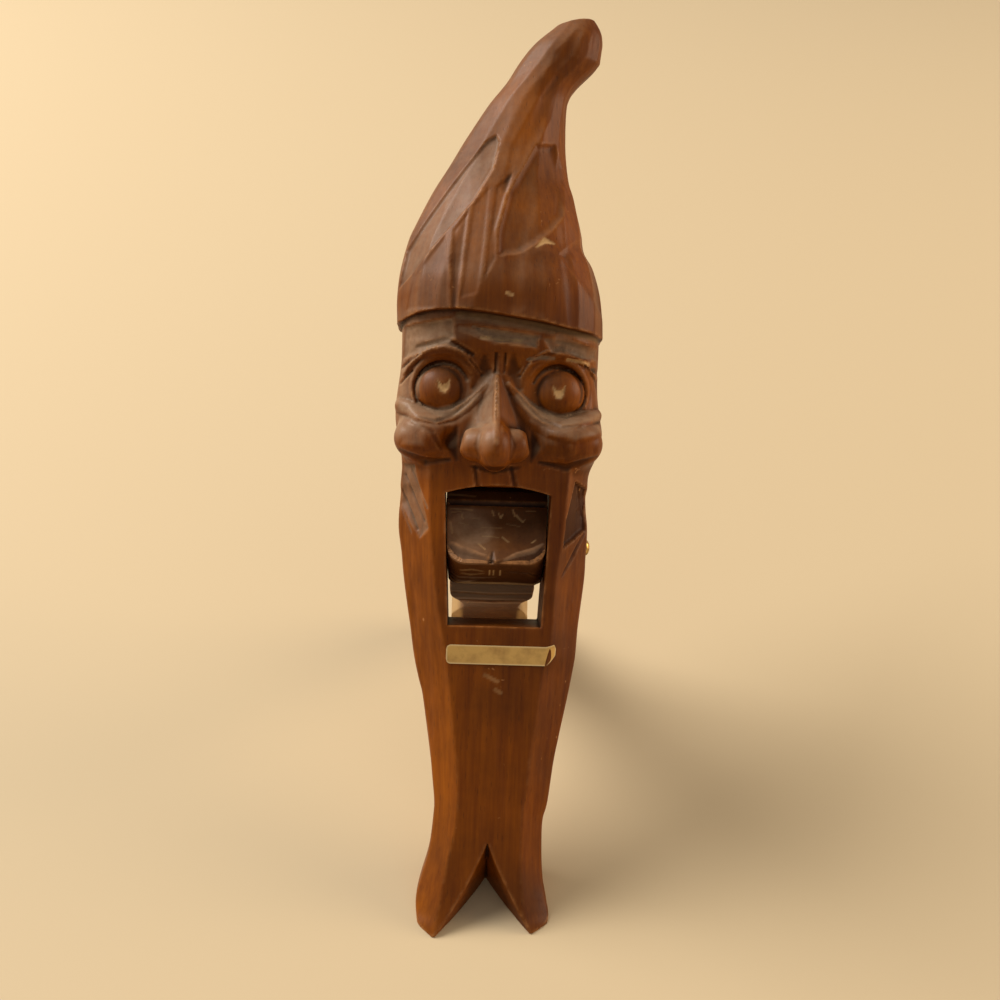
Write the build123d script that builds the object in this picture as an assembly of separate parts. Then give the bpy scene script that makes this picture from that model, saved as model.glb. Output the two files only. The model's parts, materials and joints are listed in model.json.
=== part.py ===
from build123d import *
from math import asin, atan2, cos, degrees, radians, sin, sqrt
import os

# A carved wooden lever nutcracker in the shape of a gnome with a bent pointed hat.
# One block is the gnome: hat, head, mouth frame and legs. A second carved piece is the lever:
# its short end is the lower jaw in the mouth window, its long end is the handle behind the legs.
# Both turn on one brass nail. Swung open, the handle is a third leg and the gnome leans back on it.
# Millimetres. The carving frame has x to the gnome's left hand, y to the back and z up the gnome,
# with the pin over the x axis. stand() then leans the whole back onto its handle.

# Pin and mouth window
PIN_HEIGHT = 102.6
TOE_HEIGHT = 4.4            # front edge of the toes
PIN_RADIUS = 1.3
PIN_RUNNING_GAP = 0.06      # radial, in the lever's bore
PIN_HEAD_RADIUS = 2.2
PIN_HEAD_HEIGHT = 0.9
PIN_SEAT_RADIUS = 2.35      # dent that the head has pressed into the wood
PIN_BLIND_WALL = 4.0        # wood left over the pin's hidden end
CEILING_ABOVE_PIN = 15.2    # roof of the mouth
SILL_BELOW_PIN = 19.9
WINDOW_TOP_WIDTH = 27.0
WINDOW_SILL_WIDTH = 23.6

# Mouth frame and legs, as stations up the gnome
FRONT_DEPTH = 14.5          # pin to the flat front
BACK_DEPTH = 8.0            # pin to the back, beside the window
FRONT_CHAMFER_DEPTH = 8.0
BACK_CHAMFER_DEPTH = 4.5
BACK_CHAMFER_WIDTH = 5.5
LEG_STATIONS = [            # height, half width, half width of the flat front, front, back
    (0.0, 14.6, 12.0, -13.6, 2.0),
    (6.0, 16.6, 11.5, -13.8, 2.0),
    (12.0, 16.7, 10.9, -14.0, 2.2),
    (20.0, 15.0, 9.7, -14.2, 2.4),
    (33.0, 14.0, 8.6, -14.3, 2.2),
    (47.0, 15.7, 9.4, -14.4, 3.0),
    (60.0, 18.0, 10.7, -FRONT_DEPTH, 5.0),
    (74.0, 20.8, 12.9, -FRONT_DEPTH, 7.4),
]
FRAME_STATIONS = [          # the same from the window up to the cheeks
    (84.0, 22.0, 14.3, -FRONT_DEPTH, BACK_DEPTH),
    (98.0, 23.6, 15.8, -FRONT_DEPTH, BACK_DEPTH),
    (110.0, 24.2, 17.0, -FRONT_DEPTH, BACK_DEPTH),
    (126.0, 23.6, 18.0, -FRONT_DEPTH, BACK_DEPTH + 1.0),
]

# Notch between the legs, cut nearly upright as the gnome stands
NOTCH_HEIGHT = 28.3         # its peak, at the front
NOTCH_SPREAD = 0.49         # half width gained for each millimetre down
NOTCH_SLOPE = 43.8          # the cut runs down towards the back, degrees

# Head
HEAD_SIDES = 16
HEAD_SQUARENESS = 3.0       # 2 is an oval, more is squarer
HEAD_STATIONS = [           # height, half width, front, back
    (120.0, 23.4, -14.0, 8.8),
    (124.0, 24.5, -15.0, 10.8),
    (129.0, 26.1, -16.0, 13.2),
    (137.0, 26.6, -16.8, 15.7),
    (147.0, 25.7, -17.7, 17.0),
    (152.0, 25.4, -19.6, 17.4),
    (160.0, 25.4, -20.4, 17.6),
]
EYE_RADIUS = 6.1
EYE_OFFSET = 14.4
EYE_HEIGHT = 142.1
EYE_DEPTH = -10.9
SOCKET_RIM_RADIUS = 9.6     # shallow round hollow for each eye
SOCKET_DEPTH = 1.9
EYE_STANDS_OUT = 1.1        # eyeball past the plain face round it
LID_SIDES = 8
LID_STATIONS = [            # roll under the eye: side, depth, height, radius
    (3.0, -15.4, 143.4, 1.4),
    (8.4, -15.9, 138.2, 2.0),
    (15.6, -14.6, 135.0, 2.4),
    (20.6, -12.4, 135.8, 2.4),
    (24.6, -7.6, 137.4, 1.9),
]
NOSE_OFFSET = -1.3          # the carver's nose sits a little to one side
NOSE_ROOT_DEPTH = -12.0
NOSE_STATIONS = [           # height, half width at the root, wings and their depth, tip and its depth
    (121.9, 3.2, 3.4, -20.0, 1.4, -24.0),
    (123.8, 6.4, 6.8, -20.6, 3.4, -27.4),
    (127.6, 9.2, 8.9, -20.4, 4.4, -28.9),
    (131.4, 7.4, 6.2, -20.6, 3.2, -27.4),
    (135.0, 5.8, 3.6, -20.0, 1.5, -23.6),
    (143.0, 4.4, 2.2, -18.0, 1.0, -20.3),
    (147.0, 3.0, 1.4, -15.5, 0.8, -16.6),
]
CHEEK_SIDES = 14            # cuts round a cheek and along it
CHEEK_CUTS = 6
CHEEK_END_CUT = 12.0
CHEEK_OFFSET = 17.9
CHEEK_HEIGHT = 130.1
CHEEK_HALF_WIDTH = 8.9
CHEEK_RADIUS = 7.0
CHEEK_DEPTH = -12.6
CHEEK_TILT = 8.0

# Hat
HAT_SIDES = 14
HAT_BRIM_SQUARENESS = 2.9
HAT_TIP_SQUARENESS = 2.0
BRIM_TILT = 3.1             # the brim runs down towards the back, degrees
BRIM_EDGE = [               # side and height of the brim's lower edge, seen from the front
    (-36.0, 155.0), (-25.7, 159.3), (-18.0, 161.3), (-10.0, 161.4), (8.0, 159.1), (26.0, 157.0),
    (36.0, 156.6),
]
HAT_STATIONS = [            # height, centre x, half width, centre y, half depth, turn of the facets
    (153.0, -0.5, 26.9, -2.5, 21.3, 0.0),
    (166.0, -1.1, 26.6, -2.8, 21.2, 3.0),
    (174.0, -1.5, 25.1, -2.6, 19.8, 6.0),
    (184.0, -1.7, 22.0, -2.1, 17.3, 9.0),
    (196.0, -0.3, 17.5, -1.0, 14.4, 13.0),
    (208.0, 2.3, 13.2, 0.0, 11.2, 17.0),
    (218.0, 5.6, 10.4, 0.8, 9.4, 20.0),
    (227.0, 11.9, 10.5, 1.2, 8.6, 24.0),
    (234.0, 15.1, 8.4, 1.1, 7.3, 26.0),
    (240.0, 16.5, 3.6, 1.2, 3.4, 28.0),
]

# Lever
OPEN_ANGLE = 52.0           # swing from shut to the stop
STOP_GAP = 0.05             # heel of the jaw to the roof when open
HEEL_START = 0.3            # flat of the heel, from just behind the pin when open, so that it
HEEL_LENGTH = 3.3           # leaves the roof without rubbing
HEEL_RAMP = 3.0             # slope from the cracking face to the heel
PLATE_ABOVE_PIN = 11.0      # cracking face
PLATE_REACH = 13.2          # pin to the lip
PLATE_BACK_HALF_WIDTH = 13.0
PLATE_LIP_HALF_WIDTH = 12.3
PLATE_CORNER_RADIUS = 3.6
PLATE_SIDE_HEIGHT = 3.5     # upright sides before they draw in to the chin
LIP_UNDERCUT = 0.8
CHIN_HEIGHT = 11.0
CHIN_HALF_WIDTH = 11.6
CHIN_BACK_REACH = 4.0       # back edge of the chin's underside
CHIN_BACK_BELOW_PIN = 6.5
GROOVE_BEHIND_PIN = 5.1
GROOVE_RADIUS = 0.7
ROOT_BELOW_PIN = 6.0        # where the handle's back leaves the heel
ROOT_THICKNESS = 8.8
HANDLE_GAP = 0.7            # handle to the back of the gnome when shut
NECK_BELOW_PIN = 18.4
HANDLE_STATIONS = [         # below the pin, sweep behind the gnome's back, thickness
    (33.0, 0.6, 11.6),
    (49.0, 3.9, 10.8),
    (66.0, 11.0, 9.4),
    (76.0, 10.0, 8.0),
]
SHOULDER_BELOW_PIN = 33.0
SHOULDER_HALF_WIDTH = 12.0
WAIST_BELOW_PIN = 45.0
WAIST_HALF_WIDTH = 8.2
TAIL_BELOW_PIN = 66.0
TAIL_HALF_WIDTH = 11.8
TIP_HALF_WIDTH = 8.4
HANDLE_REACH = 79.0         # pin to the tip, down the gnome
TIP_POINT = 3.4             # lowest place of the tip behind its front edge

# Paper label
LABEL_HEIGHT = 75.5
LABEL_WIDTH = 4.8
LABEL_LEFT = -11.9
LABEL_OVERHANG = 0.4        # flat part past the edge of the flat front
LABEL_FOLD = 2.4
LABEL_FOLD_ANGLE = 25.0
LABEL_THICKNESS = 0.2
LABEL_SEAT_GAP = 0.03

FLOOR_CUT = 0.8             # wood taken off to make the flat soles

# Cutting shapes
FAR = 150.0                 # reaches right through any piece
TRIM = 2.0                  # reaches just past the wood


def block_section(height, half_width, half_front, front, back):
    """Eight-sided section of the frame or the legs."""
    widest_front = front + FRONT_CHAMFER_DEPTH * (back - front) / (BACK_DEPTH + FRONT_DEPTH)
    widest_back = back - BACK_CHAMFER_DEPTH * (back - front) / (BACK_DEPTH + FRONT_DEPTH)
    half_back = half_width - BACK_CHAMFER_WIDTH
    right = [(half_front, front), (half_width, widest_front), (half_width, widest_back), (half_back, back)]
    left = [(-x, y) for x, y in reversed(right)]
    return Pos(0, 0, height) * make_face(Polyline(*right, *left, close=True))


def ring_section(height, centre_x, half_width, centre_y, half_depth, sides, squareness, turn=0.0):
    """Many-sided section of the head or the hat, between an oval and a square."""
    corners = []
    for index in range(sides):
        angle = radians(360 * (index + 0.5) / sides + turn)
        across, deep = cos(angle), sin(angle)
        reach = (abs(across) ** squareness + abs(deep) ** squareness) ** (-1 / squareness)
        corners.append((centre_x + half_width * reach * across, centre_y + half_depth * reach * deep))
    return Pos(0, 0, height) * make_face(Polyline(*corners, close=True))


def cheek_swelling():
    """Egg-like swelling in knife cuts, lying along the x axis."""
    rings = []
    for index in range(CHEEK_CUTS + 1):
        cut = radians(CHEEK_END_CUT + (180 - 2 * CHEEK_END_CUT) * index / CHEEK_CUTS)
        ring = Rot(0, 90, 0) * RegularPolygon(CHEEK_RADIUS * sin(cut), CHEEK_SIDES)
        rings.append(Pos(-CHEEK_HALF_WIDTH * cos(cut), 0, 0) * ring)
    return loft(rings, ruled=True)


def mouth_window():
    """Tapered hole right through the frame."""
    sill = PIN_HEIGHT - SILL_BELOW_PIN
    ceiling = PIN_HEIGHT + CEILING_ABOVE_PIN
    corners = [
        (-WINDOW_SILL_WIDTH / 2, sill), (WINDOW_SILL_WIDTH / 2, sill),
        (WINDOW_TOP_WIDTH / 2, ceiling), (-WINDOW_TOP_WIDTH / 2, ceiling),
    ]
    outline = make_face(Plane.XZ * Polyline(*corners, close=True))
    return extrude(outline, FAR, both=True)


def leg_notch():
    """Wedge between the legs."""
    below = TOE_HEIGHT - NOTCH_HEIGHT
    half = NOTCH_SPREAD * (NOTCH_HEIGHT - below)
    outline = make_face(Plane.XZ * Polyline((0, NOTCH_HEIGHT), (half, below), (-half, below), close=True))
    run = Vector(0, cos(radians(NOTCH_SLOPE)), -sin(radians(NOTCH_SLOPE)))
    start = Pos(0, -FRONT_DEPTH, 0) * outline
    return extrude(start, FAR, dir=run) + extrude(start, FAR, dir=-run)


def nose():
    """Long carved nose: narrow bridge, wings and a blunt tip that hangs over the lip."""
    sections = []
    for height, half_root, half_wing, wing_y, half_tip, tip_y in NOSE_STATIONS:
        right = [(half_tip, tip_y), (half_wing, wing_y), (half_root, NOSE_ROOT_DEPTH)]
        left = [(-x, y) for x, y in reversed(right)]
        outline = make_face(Polyline(*right, *left, close=True))
        sections.append(Pos(NOSE_OFFSET, 0, height) * outline)
    return loft(sections, ruled=True)


def lid_roll(side):
    """Roll under one eye, from the bridge of the nose to the temple."""
    rings = []
    for offset, depth, height, radius in LID_STATIONS:
        rings.append(Pos(side * offset, depth, height) * Rot(0, 90, 0) * RegularPolygon(radius, LID_SIDES))
    return loft(rings, ruled=True)


def face_features(head):
    """Sockets, eyes, the rolls under them, cheeks and nose on the head."""
    socket_radius = (SOCKET_RIM_RADIUS ** 2 + SOCKET_DEPTH ** 2) / (2 * SOCKET_DEPTH)
    socket_floor = EYE_DEPTH - EYE_RADIUS + SOCKET_DEPTH + EYE_STANDS_OUT
    for side in (-1, 1):
        eye_x = side * EYE_OFFSET
        head -= Pos(eye_x, socket_floor - socket_radius, EYE_HEIGHT) * Sphere(socket_radius)
        head += Pos(eye_x, EYE_DEPTH, EYE_HEIGHT) * Sphere(EYE_RADIUS)
        head += lid_roll(side)
        cheek = Rot(0, side * CHEEK_TILT, 0) * cheek_swelling()
        head += Pos(side * CHEEK_OFFSET, CHEEK_DEPTH, CHEEK_HEIGHT) * cheek
    return head + nose()


def hat():
    """Faceted cone that bends over to one side, on an arched brim."""
    low, high = HAT_STATIONS[0][0], HAT_STATIONS[-1][0]
    sections = []
    for height, x, half_width, y, half_depth, turn in HAT_STATIONS:
        share = (height - low) / (high - low)
        squareness = HAT_BRIM_SQUARENESS + share * (HAT_TIP_SQUARENESS - HAT_BRIM_SQUARENESS)
        sections.append(ring_section(height, x, half_width, y, half_depth, HAT_SIDES, squareness, turn))
    cone = loft(sections, ruled=True)
    ends = [(BRIM_EDGE[-1][0], 0), (BRIM_EDGE[0][0], 0), BRIM_EDGE[0]]
    under_brim = make_face(Plane.XZ * (Polyline(*BRIM_EDGE) + Polyline(BRIM_EDGE[-1], *ends)))
    return cone - Rot(-BRIM_TILT, 0, 0) * extrude(under_brim, FAR, both=True)


def carved_body():
    """The gnome, in the carving frame."""
    legs_and_frame = loft([block_section(*station) for station in LEG_STATIONS + FRAME_STATIONS])
    rings = []
    for height, half_width, front, back in HEAD_STATIONS:
        middle, half_depth = (front + back) / 2, (back - front) / 2
        rings.append(ring_section(height, 0, half_width, middle, half_depth, HEAD_SIDES, HEAD_SQUARENESS))
    head = loft(rings, ruled=True)
    gnome = face_features(head) + hat() + legs_and_frame
    gnome -= mouth_window()
    gnome -= leg_notch()
    return gnome - pin_hole()


def pin_hole():
    """Blind bore across the window, with the dent of the nail's head at its mouth."""
    head_seat = side_face_at_pin()
    blind_end = PIN_BLIND_WALL - head_seat
    outside = head_seat + TRIM
    outline = Polyline(
        (blind_end, 0), (blind_end, PIN_RADIUS), (head_seat, PIN_RADIUS), (head_seat, PIN_SEAT_RADIUS),
        (outside, PIN_SEAT_RADIUS), (outside, 0), close=True)
    return Pos(0, 0, PIN_HEIGHT) * revolve(make_face(outline), Axis.X)


def station_value(height, column):
    """Size of the frame or the legs at a height, between its stations."""
    stations = LEG_STATIONS + FRAME_STATIONS
    low = max(station for station in stations if station[0] <= height)
    high = min(station for station in stations if station[0] > height)
    share = (height - low[0]) / (high[0] - low[0])
    return low[column] + share * (high[column] - low[column])


def side_face_at_pin():
    """Half width of the frame at the pin's height."""
    return station_value(PIN_HEIGHT, 1)


def pivot_pin():
    """Brass nail: shank across the window, domed head proud of the right cheek."""
    head_seat = side_face_at_pin()
    length = 2 * head_seat - PIN_BLIND_WALL
    shank = Pos(PIN_BLIND_WALL / 2, 0, 0) * Rot(0, 90, 0) * Cylinder(PIN_RADIUS, length)
    disc = Pos(head_seat + PIN_HEAD_HEIGHT / 2, 0, 0) * Rot(0, 90, 0) * Cylinder(
        PIN_HEAD_RADIUS, PIN_HEAD_HEIGHT)
    disc = chamfer(disc.edges().sort_by(Axis.X)[-1], PIN_HEAD_HEIGHT * 0.5, PIN_HEAD_HEIGHT)
    return Pos(0, 0, PIN_HEIGHT) * (shank + disc)


def shut_point(open_y, open_z):
    """Point given where it lies with the lever open, turned back to the shut lever."""
    swing = radians(OPEN_ANGLE)
    return (open_y * cos(swing) + open_z * sin(swing), open_z * cos(swing) - open_y * sin(swing))


def handle_front(station=None):
    """Front of the shut handle behind the pin, at a station or at its neck."""
    return BACK_DEPTH + HANDLE_GAP + (station[1] if station else 0)


def lever_side():
    """Side view of the shut lever about the pin, as (y, z)."""
    stop_height = CEILING_ABOVE_PIN - STOP_GAP
    heel_front = shut_point(HEEL_START, stop_height)
    heel_back = shut_point(HEEL_START + HEEL_LENGTH, stop_height)
    plate_end = (heel_front[0] - HEEL_RAMP, PLATE_ABOVE_PIN)
    neck = (handle_front(), -NECK_BELOW_PIN)
    jaw = Polyline(
        heel_back, heel_front, plate_end, (-PLATE_REACH, PLATE_ABOVE_PIN),
        (-PLATE_REACH + LIP_UNDERCUT, PLATE_ABOVE_PIN - CHIN_HEIGHT),
        (-CHIN_BACK_REACH, -CHIN_BACK_BELOW_PIN), neck)
    front = [(handle_front(station), -station[0]) for station in HANDLE_STATIONS]
    back = [(handle_front(station) + station[2], -station[0]) for station in reversed(HANDLE_STATIONS)]
    root = (handle_front() + ROOT_THICKNESS, -ROOT_BELOW_PIN)
    tip = ThreePointArc(front[-1], (front[-1][0] + TIP_POINT, -HANDLE_REACH), back[0])
    edges = jaw + Spline(neck, *front) + tip + Spline(*back, root, heel_back)
    return make_face(Plane.YZ * edges)


def lever_front():
    """Front view of the shut lever, as (x, z): plate, shoulders, waist and flared tail."""
    above = PLATE_ABOVE_PIN + HEEL_RAMP
    below = -HANDLE_REACH - TRIM
    edges = Line((-PLATE_BACK_HALF_WIDTH, above), (PLATE_BACK_HALF_WIDTH, above))
    edges += Line((-TIP_HALF_WIDTH, below), (TIP_HALF_WIDTH, below))
    for side in (1, -1):
        shoulder = (side * SHOULDER_HALF_WIDTH, -SHOULDER_BELOW_PIN)
        edges += Polyline(
            (side * PLATE_BACK_HALF_WIDTH, above),
            (side * PLATE_BACK_HALF_WIDTH, PLATE_ABOVE_PIN - PLATE_SIDE_HEIGHT),
            (side * CHIN_HALF_WIDTH, PLATE_ABOVE_PIN - CHIN_HEIGHT), shoulder)
        edges += Spline(
            shoulder, (side * WAIST_HALF_WIDTH, -WAIST_BELOW_PIN),
            (side * TAIL_HALF_WIDTH, -TAIL_BELOW_PIN), (side * TIP_HALF_WIDTH, below))
    return make_face(Plane.XZ * edges)


def plate_plan():
    """Plan of the jaw: full width at the heel, narrower at the lip, round corners."""
    back = HANDLE_REACH
    corners = [
        (-PLATE_BACK_HALF_WIDTH, back), (-PLATE_BACK_HALF_WIDTH, GROOVE_BEHIND_PIN),
        (-PLATE_LIP_HALF_WIDTH, -PLATE_REACH), (PLATE_LIP_HALF_WIDTH, -PLATE_REACH),
        (PLATE_BACK_HALF_WIDTH, GROOVE_BEHIND_PIN), (PLATE_BACK_HALF_WIDTH, back),
    ]
    plan = make_face(Polyline(*corners, close=True))
    lip_corners = plan.vertices().sort_by(Axis.Y)[:2]
    return fillet(lip_corners, PLATE_CORNER_RADIUS)


def jaw_lever():
    """The lever, shut, with its pin bore on the x axis."""
    lever = extrude(lever_side(), PLATE_BACK_HALF_WIDTH + TRIM, both=True)
    lever &= extrude(lever_front(), FAR, both=True)
    lever &= extrude(plate_plan(), FAR, both=True)
    groove = Pos(0, GROOVE_BEHIND_PIN, PLATE_ABOVE_PIN) * Rot(0, 90, 0) * Cylinder(GROOVE_RADIUS, FAR)
    bore = Rot(0, 90, 0) * Cylinder(PIN_RADIUS + PIN_RUNNING_GAP, FAR)
    return lever - groove - bore


def paper_label():
    """Blank paper strip on the flat front, with one end turned back."""
    face = -FRONT_DEPTH - LABEL_SEAT_GAP
    fold = radians(LABEL_FOLD_ANGLE)
    bend = station_value(LABEL_HEIGHT, 2) + LABEL_OVERHANG
    end = (bend + LABEL_FOLD * cos(fold), face + LABEL_FOLD * sin(fold))
    outer = [(LABEL_LEFT, face - LABEL_THICKNESS), (bend, face - LABEL_THICKNESS),
             (end[0] + LABEL_THICKNESS * sin(fold), end[1] - LABEL_THICKNESS * cos(fold))]
    inner = [end, (bend, face), (LABEL_LEFT, face)]
    strip = extrude(make_face(Polyline(*outer, *inner, close=True)), LABEL_WIDTH)
    return Pos(0, 0, LABEL_HEIGHT - LABEL_WIDTH / 2) * strip


def handle_tip_open():
    """Lowest point of the handle's tip with the lever open, as (y, z) about the pin."""
    swing = radians(OPEN_ANGLE)
    y = handle_front(HANDLE_STATIONS[-1]) + TIP_POINT
    z = -HANDLE_REACH
    return (y * cos(swing) - z * sin(swing), y * sin(swing) + z * cos(swing))


def lean_angle():
    """Lean at which the toes' front edge and the handle's tip touch one floor."""
    tip_y, tip_z = handle_tip_open()
    return degrees(atan2(PIN_HEIGHT - TOE_HEIGHT + tip_z, tip_y + FRONT_DEPTH))


def stand(shape):
    """Lean a shape from the carving frame back to where it stands on the floor."""
    lean = lean_angle()
    toe_height = FRONT_DEPTH * sin(radians(lean)) + TOE_HEIGHT * cos(radians(lean))
    return Pos(0, 0, -toe_height - FLOOR_CUT) * Rot(-lean, 0, 0) * shape


def build():
    """All pieces where they stand, with the origin under the middle of the whole."""
    floor = Pos(0, 0, -FAR) * Box(2 * FAR, 2 * FAR, 2 * FAR)
    lever = Pos(0, 0, PIN_HEIGHT) * Rot(OPEN_ANGLE, 0, 0) * jaw_lever()
    pieces = {
        "carved_body": stand(carved_body()) - floor,
        "jaw_lever": stand(lever) - floor,
        "pivot_pin": stand(pivot_pin()),
        "paper_label": stand(paper_label()),
    }
    box = Compound(children=list(pieces.values())).bounding_box()
    middle = Pos(-(box.min.X + box.max.X) / 2, -(box.min.Y + box.max.Y) / 2, 0)
    pin = middle * stand(Pos(0, 0, PIN_HEIGHT))
    print("lean", round(lean_angle(), 3), "pin", [round(v, 4) for v in pin.position])
    print("size", [round(v, 2) for v in box.size])
    return {name: middle * piece for name, piece in pieces.items()}


os.makedirs("parts", exist_ok=True)
for name, piece in build().items():
    wood_or_metal = piece.solid()
    wood_or_metal.label = name
    export_step(wood_or_metal, f"parts/{name}.step")
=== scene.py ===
"""Dressed model of a carved wooden nutcracker: a gnome with a bent hat, standing on its open lever.

Shapes are carved in the gnome's own frame, in millimetres: x to its left hand, y to its back and z up
the gnome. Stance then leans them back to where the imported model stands, in metres.
"""

import json
import logging
from dataclasses import dataclass, field
from enum import Enum
from math import cos, pi, radians, sin, tan
from typing import Callable

import bmesh
import bpy
import numpy as np
from mathutils import Matrix, Vector

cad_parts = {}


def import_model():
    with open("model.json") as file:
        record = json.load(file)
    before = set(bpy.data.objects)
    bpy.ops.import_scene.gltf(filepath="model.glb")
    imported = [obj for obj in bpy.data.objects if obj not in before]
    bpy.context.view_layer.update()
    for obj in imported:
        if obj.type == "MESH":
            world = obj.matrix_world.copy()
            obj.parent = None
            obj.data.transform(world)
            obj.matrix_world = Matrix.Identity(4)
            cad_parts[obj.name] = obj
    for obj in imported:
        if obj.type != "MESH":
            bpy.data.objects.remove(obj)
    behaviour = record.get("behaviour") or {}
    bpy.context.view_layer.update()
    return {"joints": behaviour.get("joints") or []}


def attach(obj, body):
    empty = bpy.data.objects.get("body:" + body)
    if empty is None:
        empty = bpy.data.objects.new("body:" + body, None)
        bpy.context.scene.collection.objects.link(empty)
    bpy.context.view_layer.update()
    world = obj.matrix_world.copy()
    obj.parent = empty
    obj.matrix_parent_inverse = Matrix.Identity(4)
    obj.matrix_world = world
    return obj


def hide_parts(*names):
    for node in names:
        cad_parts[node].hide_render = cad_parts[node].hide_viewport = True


LOG = logging.getLogger("nutcracker")
MM = 0.001
# Grid steps of the carving in mm, the lever's share of them, and the angle from which an edge stays crisp
FULL_STEP = 0.42
LEVER_SHARE = 0.8
CRISP_WOOD = 42.0

Array = np.ndarray
Place = tuple[Array, Array, Array]
Point = tuple[float, float, float]
Form = Callable[[Array, Array, Array], Array]
Table = tuple[tuple[float, float], ...]


# Distances to shapes: below zero inside, above zero outside


def joined(first: Array, second: Array, softness: float) -> Array:
    """Both shapes together.

    Args:
        first: Distance to one shape.
        second: Distance to the other.
        softness: Width of the fillet between them, mm.

    Returns:
        Distance to the joined shape.
    """
    share = np.clip(0.5 + 0.5 * (second - first) / softness, 0.0, 1.0)
    return second + (first - second) * share - softness * share * (1.0 - share)


def pared(block: Array, tool: Array, softness: float) -> Array:
    """The block without the tool's shape, with an edge of that softness."""
    return -joined(-block, tool, softness)


def common(first: Array, second: Array, softness: float) -> Array:
    """What lies in both shapes, with an edge of that softness."""
    return -joined(-first, -second, softness)


@dataclass(frozen=True)
class Egg:
    """Egg-shaped lump or hollow: centre, half sizes, softness of its joint and tilt in the front view."""

    centre: Point
    radii: Point
    softness: float
    tilt: float = 0.0

    def distance(self, place: Place) -> Array:
        """Distance to the egg, nearly true close to its surface.

        Args:
            place: Coordinates, mm.

        Returns:
            Distance, below zero inside, mm.
        """
        x, y, z = (axis - value for axis, value in zip(place, self.centre))
        turn = radians(self.tilt)
        across = x * cos(turn) + z * sin(turn)
        up = z * cos(turn) - x * sin(turn)
        wide, deep, tall = self.radii
        near = np.sqrt((across / wide) ** 2 + (y / deep) ** 2 + (up / tall) ** 2)
        steep = np.sqrt((across / wide ** 2) ** 2 + (y / deep ** 2) ** 2 + (up / tall ** 2) ** 2)
        return near * (near - 1.0) / np.maximum(steep, 1e-6)


def inside_outline(u: Array, v: Array, corners: Table) -> Array:
    """Distance to a closed outline in a plane, below zero inside it.

    Args:
        u: First coordinate.
        v: Second coordinate.
        corners: The outline's corners, in order.

    Returns:
        Signed distance to the outline.
    """
    nearest = None
    crossings = None
    for (u0, v0), (u1, v1) in zip(corners, corners[1:] + corners[:1]):
        run_u, run_v = u1 - u0, v1 - v0
        share = np.clip(((u - u0) * run_u + (v - v0) * run_v) / (run_u ** 2 + run_v ** 2), 0.0, 1.0)
        square = (u - u0 - share * run_u) ** 2 + (v - v0 - share * run_v) ** 2
        nearest = square if nearest is None else np.minimum(nearest, square)
        spans = (v0 > v) != (v1 > v)
        level = run_v if abs(run_v) > 1e-9 else 1e-9
        hit = spans & (u < u0 + run_u * (v - v0) / level)
        crossings = hit.astype(np.int32) if crossings is None else crossings + hit
    return np.sqrt(nearest) * np.where(crossings % 2 == 1, -1.0, 1.0)


def along(height: Array, table: Table) -> Array:
    """Value at each height from a table of (height, value), eased between its rows.

    Args:
        height: Heights, mm.
        table: Rows of height and value, from low to high.

    Returns:
        The value at each height.
    """
    rows = np.asarray(table)
    inner = np.linspace(0.0, len(rows) - 1.0, 12 * (len(rows) - 1) + 1)
    index = np.clip(inner.astype(int), 0, len(rows) - 2)
    part = inner - index
    before = rows[np.clip(index - 1, 0, None)]
    low, high = rows[index], rows[index + 1]
    after = rows[np.clip(index + 2, None, len(rows) - 1)]
    start, end = (high - before) / 2, (after - low) / 2
    part = part[:, None]
    eased = (low * (2 * part ** 3 - 3 * part ** 2 + 1) + start * (part ** 3 - 2 * part ** 2 + part)
             + high * (3 * part ** 2 - 2 * part ** 3) + end * (part ** 3 - part ** 2))
    return np.interp(height, eased[:, 0], eased[:, 1])


# From distances to a mesh


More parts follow.
